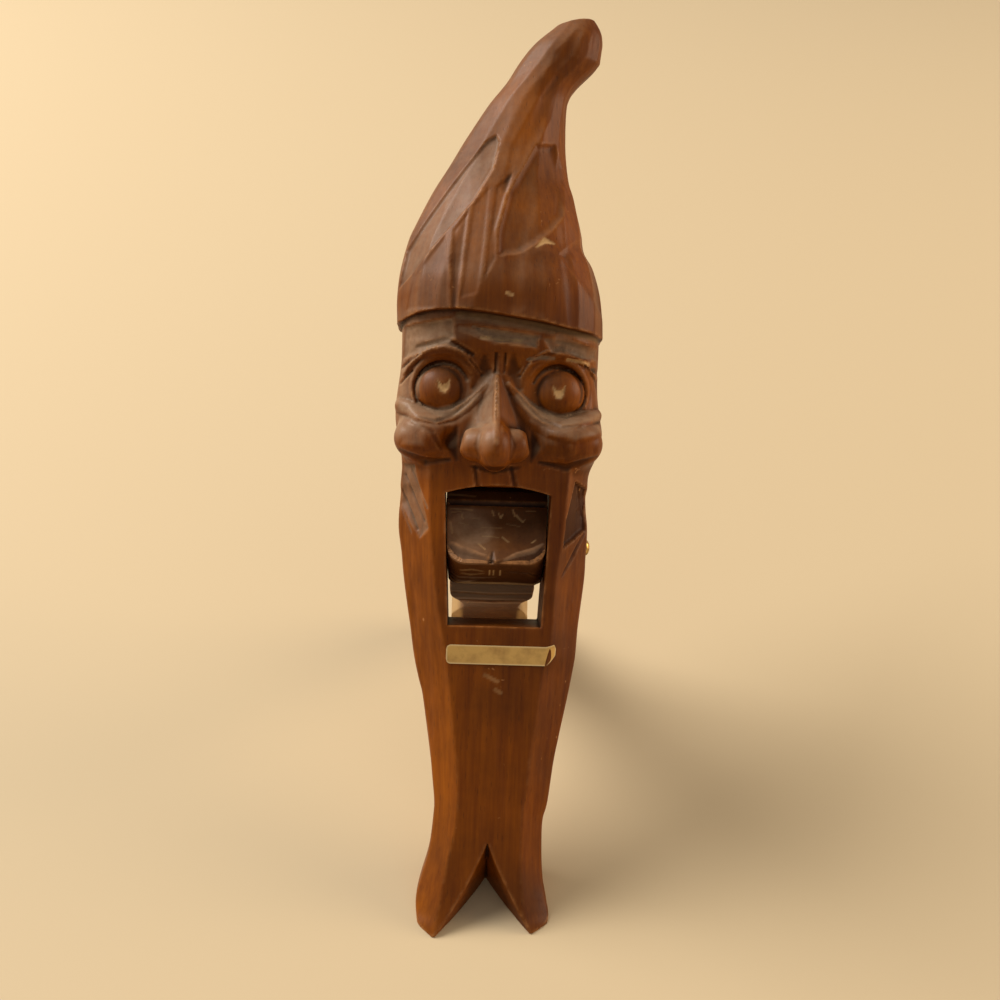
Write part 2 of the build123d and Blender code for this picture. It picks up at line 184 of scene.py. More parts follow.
@dataclass
class CarvingGrid:
    """Box of wood that a form is carved from, as a grid of distances."""

    low: Point
    high: Point
    step: float
    slab: int = 48

    def carve(self, form: Form) -> tuple[Array, Array]:
        """Finds the form's surface.

        Args:
            form: Distance to the form for coordinates in mm.

        Returns:
            Vertices in mm and four-sided faces.
        """
        axes = [np.arange(low, high, self.step) for low, high in zip(self.low, self.high)]
        x, y = axes[0][:, None, None], axes[1][None, :, None]
        heights = axes[2]
        field_of = np.empty([len(axis) for axis in axes], np.float32)
        for start in range(0, len(heights), self.slab):
            layer = heights[start:start + self.slab]
            field_of[:, :, start:start + self.slab] = form(x, y, layer[None, None, :])
        cells, vertices = self._cell_points(field_of)
        faces = self._faces(field_of, cells)
        points = vertices * self.step + np.asarray([axis[0] for axis in axes])
        return self._settled(points, form), faces

    @staticmethod
    def _cell_points(field_of: Array) -> tuple[Array, Array]:
        """Numbers the cells that the surface crosses and puts a point in each.

        Args:
            field_of: Distance to the form at each point of the grid.

        Returns:
            Number of each cell, -1 where it has no point, and the points in grid steps.
        """
        inside = field_of < 0
        count = np.zeros([size - 1 for size in inside.shape], np.int8)
        corners = [(a, b, c) for a in (0, 1) for b in (0, 1) for c in (0, 1)]
        for a, b, c in corners:
            count += inside[a:a + count.shape[0], b:b + count.shape[1], c:c + count.shape[2]]
        crossed = (count > 0) & (count < 8)
        i, j, k = np.nonzero(crossed)
        total, hits = np.zeros((len(i), 3)), np.zeros(len(i))
        for first in corners:
            for axis in range(3):
                if first[axis]:
                    continue
                second = tuple(value + (1 if index == axis else 0) for index, value in enumerate(first))
                near = field_of[i + first[0], j + first[1], k + first[2]].astype(float)
                far = field_of[i + second[0], j + second[1], k + second[2]].astype(float)
                cut = (near < 0) != (far < 0)
                share = np.where(cut, near / np.where(cut, near - far, 1.0), 0.0)
                for column in range(3):
                    step = share if column == axis else 0.0
                    total[:, column] += np.where(cut, first[column] + step, 0.0)
                hits += cut
        numbers = np.full(crossed.shape, -1, np.int64)
        numbers[i, j, k] = np.arange(len(i))
        return numbers, np.column_stack((i, j, k)) + total / hits[:, None]

    @staticmethod
    def _faces(field_of: Array, cells: Array) -> Array:
        """Four cells round each crossed grid edge make one face.

        Args:
            field_of: Distance to the form at each point of the grid.
            cells: Number of each cell's point.

        Returns:
            Four point numbers for each face.
        """
        inside = field_of < 0
        faces = []
        for axis in range(3):
            others = [other for other in range(3) if other != axis]
            first = np.take(inside, range(inside.shape[axis] - 1), axis)
            second = np.take(inside, range(1, inside.shape[axis]), axis)
            index = np.array(np.nonzero(first != second))
            keep = (index[others[0]] > 0) & (index[others[1]] > 0)
            index = index[:, keep]
            ring = []
            for step_u, step_v in ((1, 1), (0, 1), (0, 0), (1, 0)):
                cell = index.copy()
                cell[others[0]] -= step_u
                cell[others[1]] -= step_v
                ring.append(cells[tuple(cell)])
            quad = np.column_stack(ring)
            solid_first = first[tuple(index)]
            flip = solid_first if axis == 1 else ~solid_first
            quad[flip] = quad[flip][:, ::-1]
            faces.append(quad)
        return np.concatenate(faces)

    def _settled(self, points: Array, form: Form) -> Array:
        """Moves each point onto the form's true surface, along its steepest direction.

        Args:
            points: Points near the surface, mm.
            form: Distance to the form.

        Returns:
            The moved points, mm.
        """
        probe = 0.05
        for _ in range(2):
            x, y, z = points.T
            away = form(x, y, z)
            slope = np.column_stack([
                (form(x + probe, y, z) - form(x - probe, y, z)),
                (form(x, y + probe, z) - form(x, y - probe, z)),
                (form(x, y, z + probe) - form(x, y, z - probe)),
            ]) / (2 * probe)
            square = np.maximum((slope ** 2).sum(1), 0.05)
            move = -(away / square)[:, None] * slope
            length = np.sqrt((move ** 2).sum(1))
            limit = 0.5 * self.step
            points = points + move * np.minimum(1.0, limit / np.maximum(length, 1e-9))[:, None]
        return points


# Knife work on a carved mesh


class Aspect(Enum):
    """Side that a cut is drawn on: its two axes, the axis of its depth and which way it faces."""

    FRONT = (0, 2, 1, -1.0)
    TOP = (0, 1, 2, 1.0)


Line = tuple[Point, ...]


@dataclass(frozen=True)
class Stroke:
    """One cut of the knife, or a roll left standing when the depth is below zero.

    Each point of the line has two coordinates and the half width there, mm.
    """

    line: Line
    depth: float
    raw: float = 0.0
    # dark serves dark cut lines and painted shade; pale serves dirt and painted sheen
    dark: float = 0.0
    pale: float = 0.0
    aspect: Aspect = Aspect.FRONT
    soft: bool = False

    def profile(self, u: Array, v: Array) -> Array:
        """Share of the full depth at each place, 0 outside the stroke.

        Args:
            u: First coordinate on the side that is cut, mm.
            v: Second coordinate there, mm.

        Returns:
            The share, 0 to 1.
        """
        widest = max(point[2] for point in self.line)
        height = 0.0
        for (u0, v0, w0), (u1, v1, w1) in zip(self.line[:-1], self.line[1:]):
            run_u, run_v = u1 - u0, v1 - v0
            share = ((u - u0) * run_u + (v - v0) * run_v) / (run_u ** 2 + run_v ** 2)
            share = np.clip(share, 0.0, 1.0)
            width = np.maximum(w0 + share * (w1 - w0), 0.02)
            away = ((u - u0 - share * run_u) ** 2 + (v - v0 - share * run_v) ** 2) / width ** 2
            height = np.maximum(height, np.clip(1.0 - away, 0.0, 1.0) * width / widest)
        return height ** 2 * (3.0 - 2.0 * height) if self.soft else height


@dataclass(frozen=True)
class Shaving:
    """Flat or dished facet taken off inside an outline."""

    outline: Table
    depth: float
    ease: float
    # dark serves dark cuts and painted shade; pale serves dirt and painted sheen
    dark: float = 0.0
    pale: float = 0.0
    raw: float = 0.0
    aspect: Aspect = Aspect.FRONT

    def profile(self, u: Array, v: Array) -> Array:
        """Share of the full depth at each place, 0 outside the outline."""
        share = np.clip(-inside_outline(u, v, self.outline) / self.ease, 0.0, 1.0)
        return share * (2.0 - share)


@dataclass
class CarvedMesh:
    """Vertices and faces in the carving frame, with what the knife and the hands left on them, and the
    painted shade and sheen.
    """

    vertices: Array
    faces: Array
    marks: dict[str, Array] = field(default_factory=dict)

    def __post_init__(self) -> None:
        """Starts every mark at nothing."""
        for name in ("raw", "dark", "pale", "ridge", "hollow", "bare"):
            self.marks[name] = np.zeros(len(self.vertices))

    def normals(self) -> Array:
        """Unit normal at each vertex.

        Returns:
            One direction of length 1 for each vertex.
        """
        corners = self.vertices[self.faces]
        across = np.cross(corners[:, 2] - corners[:, 0], corners[:, 3] - corners[:, 1])
        total = np.zeros_like(self.vertices)
        for column in range(3):
            for corner in range(4):
                total[:, column] += np.bincount(self.faces[:, corner], across[:, column], len(total))
        return total / np.maximum(np.linalg.norm(total, axis=1), 1e-9)[:, None]

    def cut(self, cuts: tuple[Stroke | Shaving, ...]) -> None:
        """Makes each cut in the side that it is drawn on.

        Args:
            cuts: Strokes or facets, made one after another.
        """
        for cut in cuts:
            first, second, depth_axis, sign = cut.aspect.value
            normals = self.normals()
            facing = np.clip(sign * normals[:, depth_axis] * 3.0, 0.0, 1.0)
            height = cut.profile(self.vertices[:, first], self.vertices[:, second]) * facing
            self.vertices = self.vertices - normals * (cut.depth * height)[:, None]
            for name in ("raw", "dark", "pale"):
                strength = getattr(cut, name)
                if strength:
                    self.note(name, strength * np.clip(height * 1.6, 0.0, 1.0))

    def note(self, name: str, strength: Array) -> None:
        """Raises one mark to a strength where it is weaker."""
        self.marks[name] = np.maximum(self.marks[name], strength)

    def gouge_at_random(self, seed: int, count: int, where: Callable[[Array, Array], Array],
                        length: float, half_width: float, depth: float) -> None:
        """Scatters long shallow gouges along the grain.

        Args:
            seed: Seed of their places.
            count: How many.
            where: Picks the vertices that may carry one, from vertices and normals.
            length: Their usual half length, mm.
            half_width: Their usual half width, mm.
            depth: Their usual depth, mm.
        """
        chance = np.random.default_rng(seed)
        normals = self.normals()
        allowed = np.nonzero(where(self.vertices, normals))[0]
        for index in chance.choice(allowed, count):
            centre, out = self.vertices[index], normals[index]
            lean = radians(chance.uniform(-9.0, 9.0))
            side = np.cross(out, (sin(lean), 0.0, cos(lean)))
            side /= max(np.linalg.norm(side), 1e-6)
            run = np.cross(side, out)
            offset = self.vertices - centre
            u, v, w = offset @ run, offset @ side, offset @ out
            taper = np.clip(1.0 - (u / (length * chance.uniform(0.6, 1.4))) ** 2, 0.0, 1.0)
            width = half_width * chance.uniform(0.7, 1.3) * np.sqrt(taper) + 1e-6
            near = (np.abs(w) < 3.0) & (normals @ out > 0.6)
            height = depth * chance.uniform(0.5, 1.2) * taper
            height = height * np.clip(1.0 - (v / width) ** 2, 0.0, 1.0) * near
            self.vertices = self.vertices - out * height[:, None]

    def read_wear(self) -> None:
        """Works out which places stand proud and wear pale, and which lie deep and stay dark."""
        edges = np.concatenate([self.faces[:, [a, (a + 1) % 4]] for a in range(4)])
        size = len(self.vertices)
        links = np.bincount(edges[:, 0], minlength=size) + np.bincount(edges[:, 1], minlength=size)
        normals = self.normals()

        def mean_of(values: Array) -> Array:
            """Mean of each vertex's neighbours."""
            total = np.bincount(edges[:, 0], values[edges[:, 1]], size)
            return (total + np.bincount(edges[:, 1], values[edges[:, 0]], size)) / np.maximum(links, 1)

        middle = np.column_stack([mean_of(self.vertices[:, column]) for column in range(3)])
        bend = ((middle - self.vertices) * normals).sum(1)
        for _ in range(2):
            bend = 0.5 * bend + 0.5 * mean_of(bend)
        broad = bend
        for _ in range(10):
            broad = mean_of(broad)
        self.marks["ridge"] = np.clip(-bend * 16.0 - 0.15, 0.0, 1.0)
        self.marks["hollow"] = np.clip(bend * 14.0 + broad * 40.0 - 0.1, 0.0, 1.0)


@dataclass(frozen=True)
class Stance:
    """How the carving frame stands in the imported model."""

    pin: Vector
    swing: float
    pin_height: float = 102.6
    lean: float = 36.547

    def open_lever(self, points: Array) -> Array:
        """Turns points given about the pin, on the shut lever, to where they lie in the carving frame.

        Args:
            points: Points about the pin, mm.

        Returns:
            The points in the carving frame, mm.
        """
        turn = radians(self.swing)
        y, z = points[:, 1], points[:, 2]
        return np.column_stack((points[:, 0], y * cos(turn) - z * sin(turn),
                                self.pin_height + y * sin(turn) + z * cos(turn)))

    def place(self, points: Array) -> Array:
        """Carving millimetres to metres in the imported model.

        Args:
            points: Points in the carving frame, mm.

        Returns:
            The points in metres.
        """
        slope = radians(self.lean)
        y, z = points[:, 1], points[:, 2] - self.pin_height
        return np.column_stack((
            self.pin.x + points[:, 0] * MM,
            self.pin.y + (y * cos(slope) + z * sin(slope)) * MM,
            self.pin.z + (z * cos(slope) - y * sin(slope)) * MM,
        ))

    def floor_depth(self, y: Array, z: Array) -> Array:
        """How far a place lies below the floor, mm."""
        slope = radians(self.lean)
        return -(self.pin.z / MM + (z - self.pin_height) * cos(slope) - y * sin(slope))

    def lever_floor_depth(self, y: Array, z: Array) -> Array:
        """The same for a place given about the pin, on the shut lever.

        Args:
            y: Places from front to back, from the pin, mm.
            z: Heights over the pin, mm.

        Returns:
            Depth below the floor, mm.
        """
        turn = radians(self.swing)
        return self.floor_depth(y * cos(turn) - z * sin(turn),
                                self.pin_height + y * sin(turn) + z * cos(turn))


def arc_line(centre: tuple[float, float], radii: tuple[float, float], span: tuple[float, float],
             widths: tuple[float, float, float]) -> Line:
    """Points of a stroke along an arc.

    Args:
        centre: Middle of the arc.
        radii: Its radii along the two coordinates.
        span: First and last angle in degrees, from the first coordinate.
        widths: Half widths at its start, middle and end.

    Returns:
        The points with their half widths.
    """
    steps = 14
    points = []
    for index in range(steps + 1):
        share = index / steps
        angle = radians(span[0] + share * (span[1] - span[0]))
        width = float(np.interp(share, (0.0, 0.5, 1.0), widths))
        points.append((centre[0] + radii[0] * cos(angle), centre[1] + radii[1] * sin(angle), width))
    return tuple(points)


def mesh_object(name: str, carved: CarvedMesh, stance: Stance, crisp: float) -> bpy.types.Object:
    """Makes a carved mesh into an object of the scene.

    Args:
        name: Name of the piece.
        carved: The mesh with its marks.
        stance: Where it stands.
        crisp: Angle from which an edge is shaded sharp, degrees.

    Returns:
        The new object, linked to the scene.
    """
    mesh = bpy.data.meshes.new(name)
    mesh.from_pydata(stance.place(carved.vertices), [], carved.faces)
    mesh.update()
    mesh.shade_smooth()
    mesh.set_sharp_from_angle(angle=radians(crisp))
    for mark, values in carved.marks.items():
        layer = mesh.attributes.new(mark, "FLOAT", "POINT")
        layer.data.foreach_set("value", values.astype(np.float32))
    piece = bpy.data.objects.new(name, mesh)
    bpy.context.scene.collection.objects.link(piece)
    return piece


# Shader groups


class Nodes:
    """Short way to add nodes to a tree and wire them."""

    def __init__(self, tree: bpy.types.NodeTree) -> None:
        """Keeps the tree."""
        self.tree = tree

    def add(self, kind: str, settings: dict | None = None, **inputs: object) -> bpy.types.Node:
        """Adds a node.

        Args:
            kind: Its type, such as ShaderNodeMix.
            settings: Properties of the node.
            **inputs: Its inputs by name, with underscores for spaces: a socket to link or a value.

        Returns:
            The node.
        """
        node = self.tree.nodes.new(kind)
        for name, value in (settings or {}).items():
            setattr(node, name, value)
        for name, value in inputs.items():
            self.feed(node, name.replace("_", " "), value)
        return node

    def feed(self, node: bpy.types.Node, name: str | int, value: object) -> None:
        """Links a socket to an input, or sets the input's own value.

        Args:
            node: The node.
            name: Name or number of its input.
            value: A socket or a plain value.
        """
        socket = node.inputs[name]
        if isinstance(value, bpy.types.NodeSocket):
            self.tree.links.new(value, socket)
        else:
            socket.default_value = value

    def maths(self, operation: str, first: object, second: object = 0.0, clamp: bool = False) -> object:
        """One sum of two values; returns its socket.

        Args:
            operation: Name of the sum, such as MULTIPLY.
            first: A socket or a number.
            second: A socket or a number.
            clamp: Whether the result is kept from 0 to 1.

        Returns:
            The socket of the result.
        """
        node = self.tree.nodes.new("ShaderNodeMath")
        node.operation, node.use_clamp = operation, clamp
        self.feed(node, 0, first)
        self.feed(node, 1, second)
        return node.outputs[0]

    def blend(self, share: object, first: object, second: object, mode: str = "MIX") -> object:
        """Mixes two colours; returns the socket.

        Args:
            share: Share of the second colour.
            first: A socket or a colour.
            second: A socket or a colour.
            mode: How the two are mixed.

        Returns:
            The socket of the mixed colour.
        """
        node = self.tree.nodes.new("ShaderNodeMix")
        node.data_type, node.blend_type = "RGBA", mode
        for index, value in ((0, share), (6, first), (7, second)):
            self.feed(node, index, value)
        return node.outputs[2]

    def ramp(self, value: object, stops: tuple[tuple[float, float], ...]) -> object:
        """Grey ramp through (position, level) stops; returns the socket.

        Args:
            value: A socket with the position.
            stops: Rows of position and level.

        Returns:
            The socket of the level.
        """
        node = self.tree.nodes.new("ShaderNodeValToRGB")
        elements = node.color_ramp.elements
        while len(elements) < len(stops):
            elements.new(0.5)
        for element, (position, level) in zip(elements, stops):
            element.position = position
            element.color = (level, level, level, 1.0)
        self.feed(node, 0, value)
        return node.outputs[0]

    def mark(self, name: str) -> object:
        """Socket with one of the marks kept on the mesh.

        Args:
            name: Name of the mark.

        Returns:
            The socket of its value.
        """
        node = self.tree.nodes.new("ShaderNodeAttribute")
        node.attribute_type, node.attribute_name = "GEOMETRY", name
        return node.outputs["Fac"]


def shader_group(name: str, inputs: dict[str, tuple[str, object]], outputs: dict[str, str]
                 ) -> tuple[bpy.types.NodeTree, Nodes, bpy.types.Node, bpy.types.Node]:
    """Starts a shader node group.

    Args:
        name: Name of the group.
        inputs: Socket kind and first value of each input.
        outputs: Socket kind of each output.

    Returns:
        The group, its nodes, its input node and its output node.
    """
    group = bpy.data.node_groups.new(name, "ShaderNodeTree")
    for label, (kind, value) in inputs.items():
        socket = group.interface.new_socket(label, in_out="INPUT", socket_type=kind)
        socket.default_value = value
    for label, kind in outputs.items():
        group.interface.new_socket(label, in_out="OUTPUT", socket_type=kind)
    nodes = Nodes(group)
    return group, nodes, nodes.add("NodeGroupInput"), nodes.add("NodeGroupOutput")


@dataclass
class Effects:
    """Shader groups that the materials share."""

    lean: float
    figure: bpy.types.NodeTree | None = None
    wear: bpy.types.NodeTree | None = None
    specks: bpy.types.NodeTree | None = None

    def build(self) -> "Effects":
        """Makes each group once.

        Returns:
            The effects themselves, with their groups.
        """
        self.figure = self._wood_figure()
        self.wear = self._wear_and_painted_light()
        self.specks = self._specks()
        return self

    def _wood_figure(self) -> bpy.types.NodeTree:
        """Grain that runs up the gnome: broad bands, fine fibres and short pores.

        Returns:
            The shader group.
        """
        group, nodes, given, result = shader_group(
            "wood_figure",
            {"Bands": ("NodeSocketFloat", 60.0), "Fibres": ("NodeSocketFloat", 900.0)},
            {"Tone": "NodeSocketFloat", "Pores": "NodeSocketFloat", "Cloud": "NodeSocketFloat"})
        place = nodes.add("ShaderNodeTexCoord").outputs["Object"]
        upright = nodes.add("ShaderNodeMapping", Vector=place, Rotation=(radians(self.lean), 0.0, 0.0))
        drawn = nodes.add("ShaderNodeMapping", Vector=upright.outputs[0], Scale=(1.0, 1.0, 0.06))
        bands = nodes.add("ShaderNodeTexNoise", Vector=drawn.outputs[0], Scale=given.outputs["Bands"],
                          Detail=3.0, Roughness=0.55, Distortion=0.6)
        fibres = nodes.add("ShaderNodeTexNoise", Vector=drawn.outputs[0], Scale=given.outputs["Fibres"],
                           Detail=2.0, Roughness=0.6)
        tone = nodes.maths("ADD", nodes.maths("MULTIPLY", bands.outputs[0], 0.65),
                           nodes.maths("MULTIPLY", fibres.outputs[0], 0.35))
        short = nodes.add("ShaderNodeMapping", Vector=upright.outputs[0], Scale=(1.0, 1.0, 0.16))
        pores = nodes.add("ShaderNodeTexVoronoi", Vector=short.outputs[0], Scale=1150.0)
        cloud = nodes.add("ShaderNodeTexNoise", Vector=upright.outputs[0], Scale=38.0, Detail=4.0,
                          Roughness=0.62)
        nodes.feed(result, "Tone", nodes.ramp(tone, ((0.28, 0.0), (0.72, 1.0))))
        nodes.feed(result, "Pores", nodes.ramp(pores.outputs["Distance"], ((0.05, 1.0), (0.22, 0.0))))
        nodes.feed(result, "Cloud", nodes.ramp(cloud.outputs[0], ((0.32, 0.0), (0.7, 1.0))))
        return group

    @staticmethod
    def _wear_and_painted_light() -> bpy.types.NodeTree:
        """Edges rubbed pale, hollows left dark and nicks down to raw wood, from the marks of the knife. The
        dark mark also carries painted shade, and the pale mark carries painted sheen along with dirt.

        Returns:
            The shader group.
        """
        group, nodes, given, result = shader_group(
            "wear_and_painted_light",
            {"Edges": ("NodeSocketFloat", 1.0), "Grime and shade": ("NodeSocketFloat", 1.0)},
            {"Worn": "NodeSocketFloat", "Deep": "NodeSocketFloat", "Raw": "NodeSocketFloat",
             "Dust and sheen": "NodeSocketFloat"})
        place = nodes.add("ShaderNodeTexCoord").outputs["Object"]
        patchy = nodes.add("ShaderNodeTexNoise", Vector=place, Scale=420.0, Detail=5.0, Roughness=0.65)
        broken = nodes.ramp(patchy.outputs[0], ((0.38, 0.15), (0.62, 1.0)))
        worn = nodes.maths("MULTIPLY", nodes.mark("ridge"), broken)
        # Deep: hollows and the dark mark, which holds painted shade as well as dark cut lines
        deep = nodes.maths("MAXIMUM", nodes.mark("hollow"), nodes.mark("dark"))
        chipped = nodes.ramp(patchy.outputs[0], ((0.3, 0.6), (0.6, 1.0)))
        raw = nodes.maths("MULTIPLY", nodes.mark("raw"), chipped)
        # Pale mark: painted sheen and dirt, broken up by noise
        pale_breakup = nodes.ramp(patchy.outputs[0], ((0.3, 0.55), (0.7, 1.0)))
        dust_and_sheen_mask = nodes.maths("MULTIPLY", nodes.mark("pale"), pale_breakup)
        nodes.feed(result, "Worn", nodes.maths("MULTIPLY", worn, given.outputs["Edges"], True))
        nodes.feed(result, "Deep", nodes.maths("MULTIPLY", deep, given.outputs["Grime and shade"], True))
        nodes.feed(result, "Raw", nodes.maths("MULTIPLY", raw, 1.0, True))
        nodes.feed(result, "Dust and sheen", nodes.maths("MULTIPLY", dust_and_sheen_mask, 1.0, True))
        return group

    @staticmethod
    def _specks() -> bpy.types.NodeTree:
        """Small pale scratches and pin-prick specks of handling.

        Returns:
            The shader group.
        """
        group, nodes, given, result = shader_group(
            "specks", {"Scale": ("NodeSocketFloat", 300.0), "Amount": ("NodeSocketFloat", 1.0)},
            {"Mask": "NodeSocketFloat"})
        place = nodes.add("ShaderNodeTexCoord").outputs["Object"]
        warp = nodes.add("ShaderNodeTexNoise", Vector=place, Scale=260.0, Detail=2.0)
        bent = nodes.blend(0.012, place, warp.outputs["Color"], "ADD")
        dots = nodes.add("ShaderNodeTexVoronoi", Vector=bent, Scale=given.outputs["Scale"])
        sparse = nodes.ramp(dots.outputs["Color"], ((0.84, 0.0), (0.9, 1.0)))
        small = nodes.ramp(dots.outputs["Distance"], ((0.08, 1.0), (0.2, 0.0)))
        both = nodes.maths("MULTIPLY", sparse, small)
        nodes.feed(result, "Mask", nodes.maths("MULTIPLY", both, given.outputs["Amount"], True))
        return group


def use_group(nodes: Nodes, group: bpy.types.NodeTree, **inputs: object) -> bpy.types.Node:
    """Places a shader group in a material's tree.

    Args:
        nodes: Nodes of the material.
        group: The shader group.
        **inputs: Values of its inputs, by name.

    Returns:
        The node that holds the group.
    """
    node = nodes.add("ShaderNodeGroup", {"node_tree": group})
    for name, value in inputs.items():
        nodes.feed(node, name, value)
    return node


def new_material(name: str) -> tuple[bpy.types.Material, Nodes, bpy.types.Node]:
    """Starts a material with one Principled shader; returns it, its nodes and the shader.

    Args:
        name: Name of the material.

    Returns:
        The material, its nodes and the shader.
    """
    material = bpy.data.materials.new(name)
    material.use_nodes = True
    nodes = Nodes(material.node_tree)
    return material, nodes, material.node_tree.nodes["Principled BSDF"]


Colour = tuple[float, float, float, float]


def stain(red: int, green: int, blue: int) -> Colour:
    """Linear colour of a stain named by its 8-bit screen values.

    Args:
        red: Red, 0 to 255.
        green: Green, 0 to 255.
        blue: Blue, 0 to 255.

    Returns:
        The linear colour, opaque.
    """
    def linear(level: int) -> float:
        """One channel from screen to linear."""
        share = level / 255.0
        return share / 12.92 if share <= 0.04045 else ((share + 0.055) / 1.055) ** 2.4
    return (linear(red), linear(green), linear(blue), 1.0)


@dataclass(frozen=True)
class StainedWood:
    """Wood stain under thin lacquer, worn by hands, with painted shade and painted sheen mixed into its
    colour.
    """

    name: str
    # deep: darkest stain of the grain, also laid as painted shade
    deep: Colour = stain(28, 8, 1)
    main: Colour = stain(93, 36, 1)
    light: Colour = stain(160, 86, 8)
    worn: Colour = stain(184, 126, 74)
    raw: Colour = stain(218, 174, 118)
    # Pale colour of dirt and of painted sheen, laid where the pale mark lies
    dust_and_sheen: Colour = stain(158, 128, 100)
    bare: Colour = stain(190, 152, 100)
    roughness: float = 0.42
    coat: float = 0.07
    specular: float = 0.12
    cloud_share: float = 0.58
    pore_share: float = 0.35
    deep_share: float = 0.8
    dust_and_sheen_share: float = 0.9
    worn_share: float = 0.6
    bare_share: float = 0.9

    def build(self, effects: Effects) -> bpy.types.Material:
        """Makes the material.

        Args:
            effects: The shared shader groups.

        Returns:
            The material.
        """
        material, nodes, shader = new_material(self.name)
        figure = use_group(nodes, effects.figure)
        wear = use_group(nodes, effects.wear)
        specks = use_group(nodes, effects.specks)
        colour = nodes.blend(figure.outputs["Tone"], self.main, self.light)
        # Grain, then painted shade, dirt with painted sheen, wear, specks and bare wood over the stain
        for mask, share, over in (
                (figure.outputs["Cloud"], self.cloud_share, self.deep),
                (figure.outputs["Pores"], self.pore_share, self.deep),
                (wear.outputs["Deep"], self.deep_share, self.deep),
                (wear.outputs["Dust and sheen"], self.dust_and_sheen_share, self.dust_and_sheen),
                (wear.outputs["Worn"], self.worn_share, self.worn),
                (specks.outputs["Mask"], self.worn_share, self.worn),
                (nodes.mark("bare"), self.bare_share, self.bare)):
            colour = nodes.blend(nodes.maths("MULTIPLY", mask, share), colour, over)
        colour = nodes.blend(wear.outputs["Raw"], colour, self.raw)
        nodes.feed(shader, "Base Color", colour)
        shine = nodes.maths("ADD", self.roughness, nodes.maths("MULTIPLY", figure.outputs["Cloud"], 0.16))
        shine = nodes.maths("ADD", shine, nodes.maths("MULTIPLY", wear.outputs["Raw"], 0.3), True)
        nodes.feed(shader, "Roughness", shine)
        dulled = nodes.maths("MULTIPLY", wear.outputs["Deep"], 0.1)
        lacquer = nodes.maths("SUBTRACT", self.coat, dulled, True)
        nodes.feed(shader, "Coat Weight", lacquer)
        shader.inputs["Coat Roughness"].default_value = 0.22
        shader.inputs["Specular IOR Level"].default_value = self.specular
        relief = nodes.maths("SUBTRACT", nodes.maths("MULTIPLY", figure.outputs["Tone"], 0.5),
                             nodes.maths("MULTIPLY", figure.outputs["Pores"], 0.8))
        bump = nodes.add("ShaderNodeBump", Strength=0.35, Distance=0.00012, Height=relief)
        nodes.feed(shader, "Normal", bump.outputs[0])
        return material


@dataclass(frozen=True)
class TarnishedBrass:
    """Dull nail brass with darker blotches."""

    name: str = "nail_brass"
    bright: Colour = stain(214, 176, 104)
    dull: Colour = stain(138, 102, 52)

    def build(self, effects: Effects) -> bpy.types.Material:
        """Makes the material.

        Args:
            effects: The shared shader groups.

        Returns:
            The material.
        """
        material, nodes, shader = new_material(self.name)
        place = nodes.add("ShaderNodeTexCoord").outputs["Object"]
        blotch = nodes.add("ShaderNodeTexNoise", Vector=place, Scale=900.0, Detail=4.0, Roughness=0.6)
        share = nodes.ramp(blotch.outputs[0], ((0.4, 0.0), (0.65, 1.0)))
        specks = use_group(nodes, effects.specks, Scale=1600.0)
        colour = nodes.blend(share, self.bright, self.dull)
        nodes.feed(shader, "Base Color", nodes.blend(specks.outputs["Mask"], colour, self.dull))
        shader.inputs["Metallic"].default_value = 1.0
        nodes.feed(shader, "Roughness", nodes.maths("ADD", 0.26, nodes.maths("MULTIPLY", share, 0.25)))
        bump = nodes.add("ShaderNodeBump", Strength=0.3, Distance=0.00004, Height=blotch.outputs[0])
        nodes.feed(shader, "Normal", bump.outputs[0])
        return material


@dataclass(frozen=True)
class GoldPaper:
    """Thin gold paper, rubbed and yellowed."""

    name: str = "gold_paper"
    face: Colour = stain(214, 168, 92)
    rubbed: Colour = stain(222, 190, 132)
    stained: Colour = stain(140, 98, 48)

    def build(self, effects: Effects) -> bpy.types.Material:
        """Makes the material.

        Args:
            effects: The shared shader groups.

        Returns:
            The material.
        """
        material, nodes, shader = new_material(self.name)
        place = nodes.add("ShaderNodeTexCoord").outputs["Object"]
        cloud = nodes.add("ShaderNodeTexNoise", Vector=place, Scale=260.0, Detail=5.0, Roughness=0.6)
        fibre = nodes.add("ShaderNodeTexNoise", Vector=place, Scale=2400.0, Detail=2.0)
        rim = nodes.mark("rim")
        specks = use_group(nodes, effects.specks, Scale=700.0)
        yellowed = nodes.ramp(cloud.outputs[0], ((0.45, 0.0), (0.75, 0.6)))
        colour = nodes.blend(yellowed, self.face, self.stained)
        colour = nodes.blend(nodes.maths("MAXIMUM", rim, specks.outputs["Mask"]), colour, self.rubbed)
        nodes.feed(shader, "Base Color", colour)
        nodes.feed(shader, "Roughness", nodes.ramp(cloud.outputs[0], ((0.3, 0.34), (0.8, 0.55))))
        nodes.feed(shader, "Metallic", nodes.maths("MULTIPLY", nodes.maths("SUBTRACT", 1.0, rim), 0.35))
        bump = nodes.add("ShaderNodeBump", Strength=0.25, Distance=0.00003, Height=fibre.outputs[0])
        nodes.feed(shader, "Normal", bump.outputs[0])
        return material


# Pieces


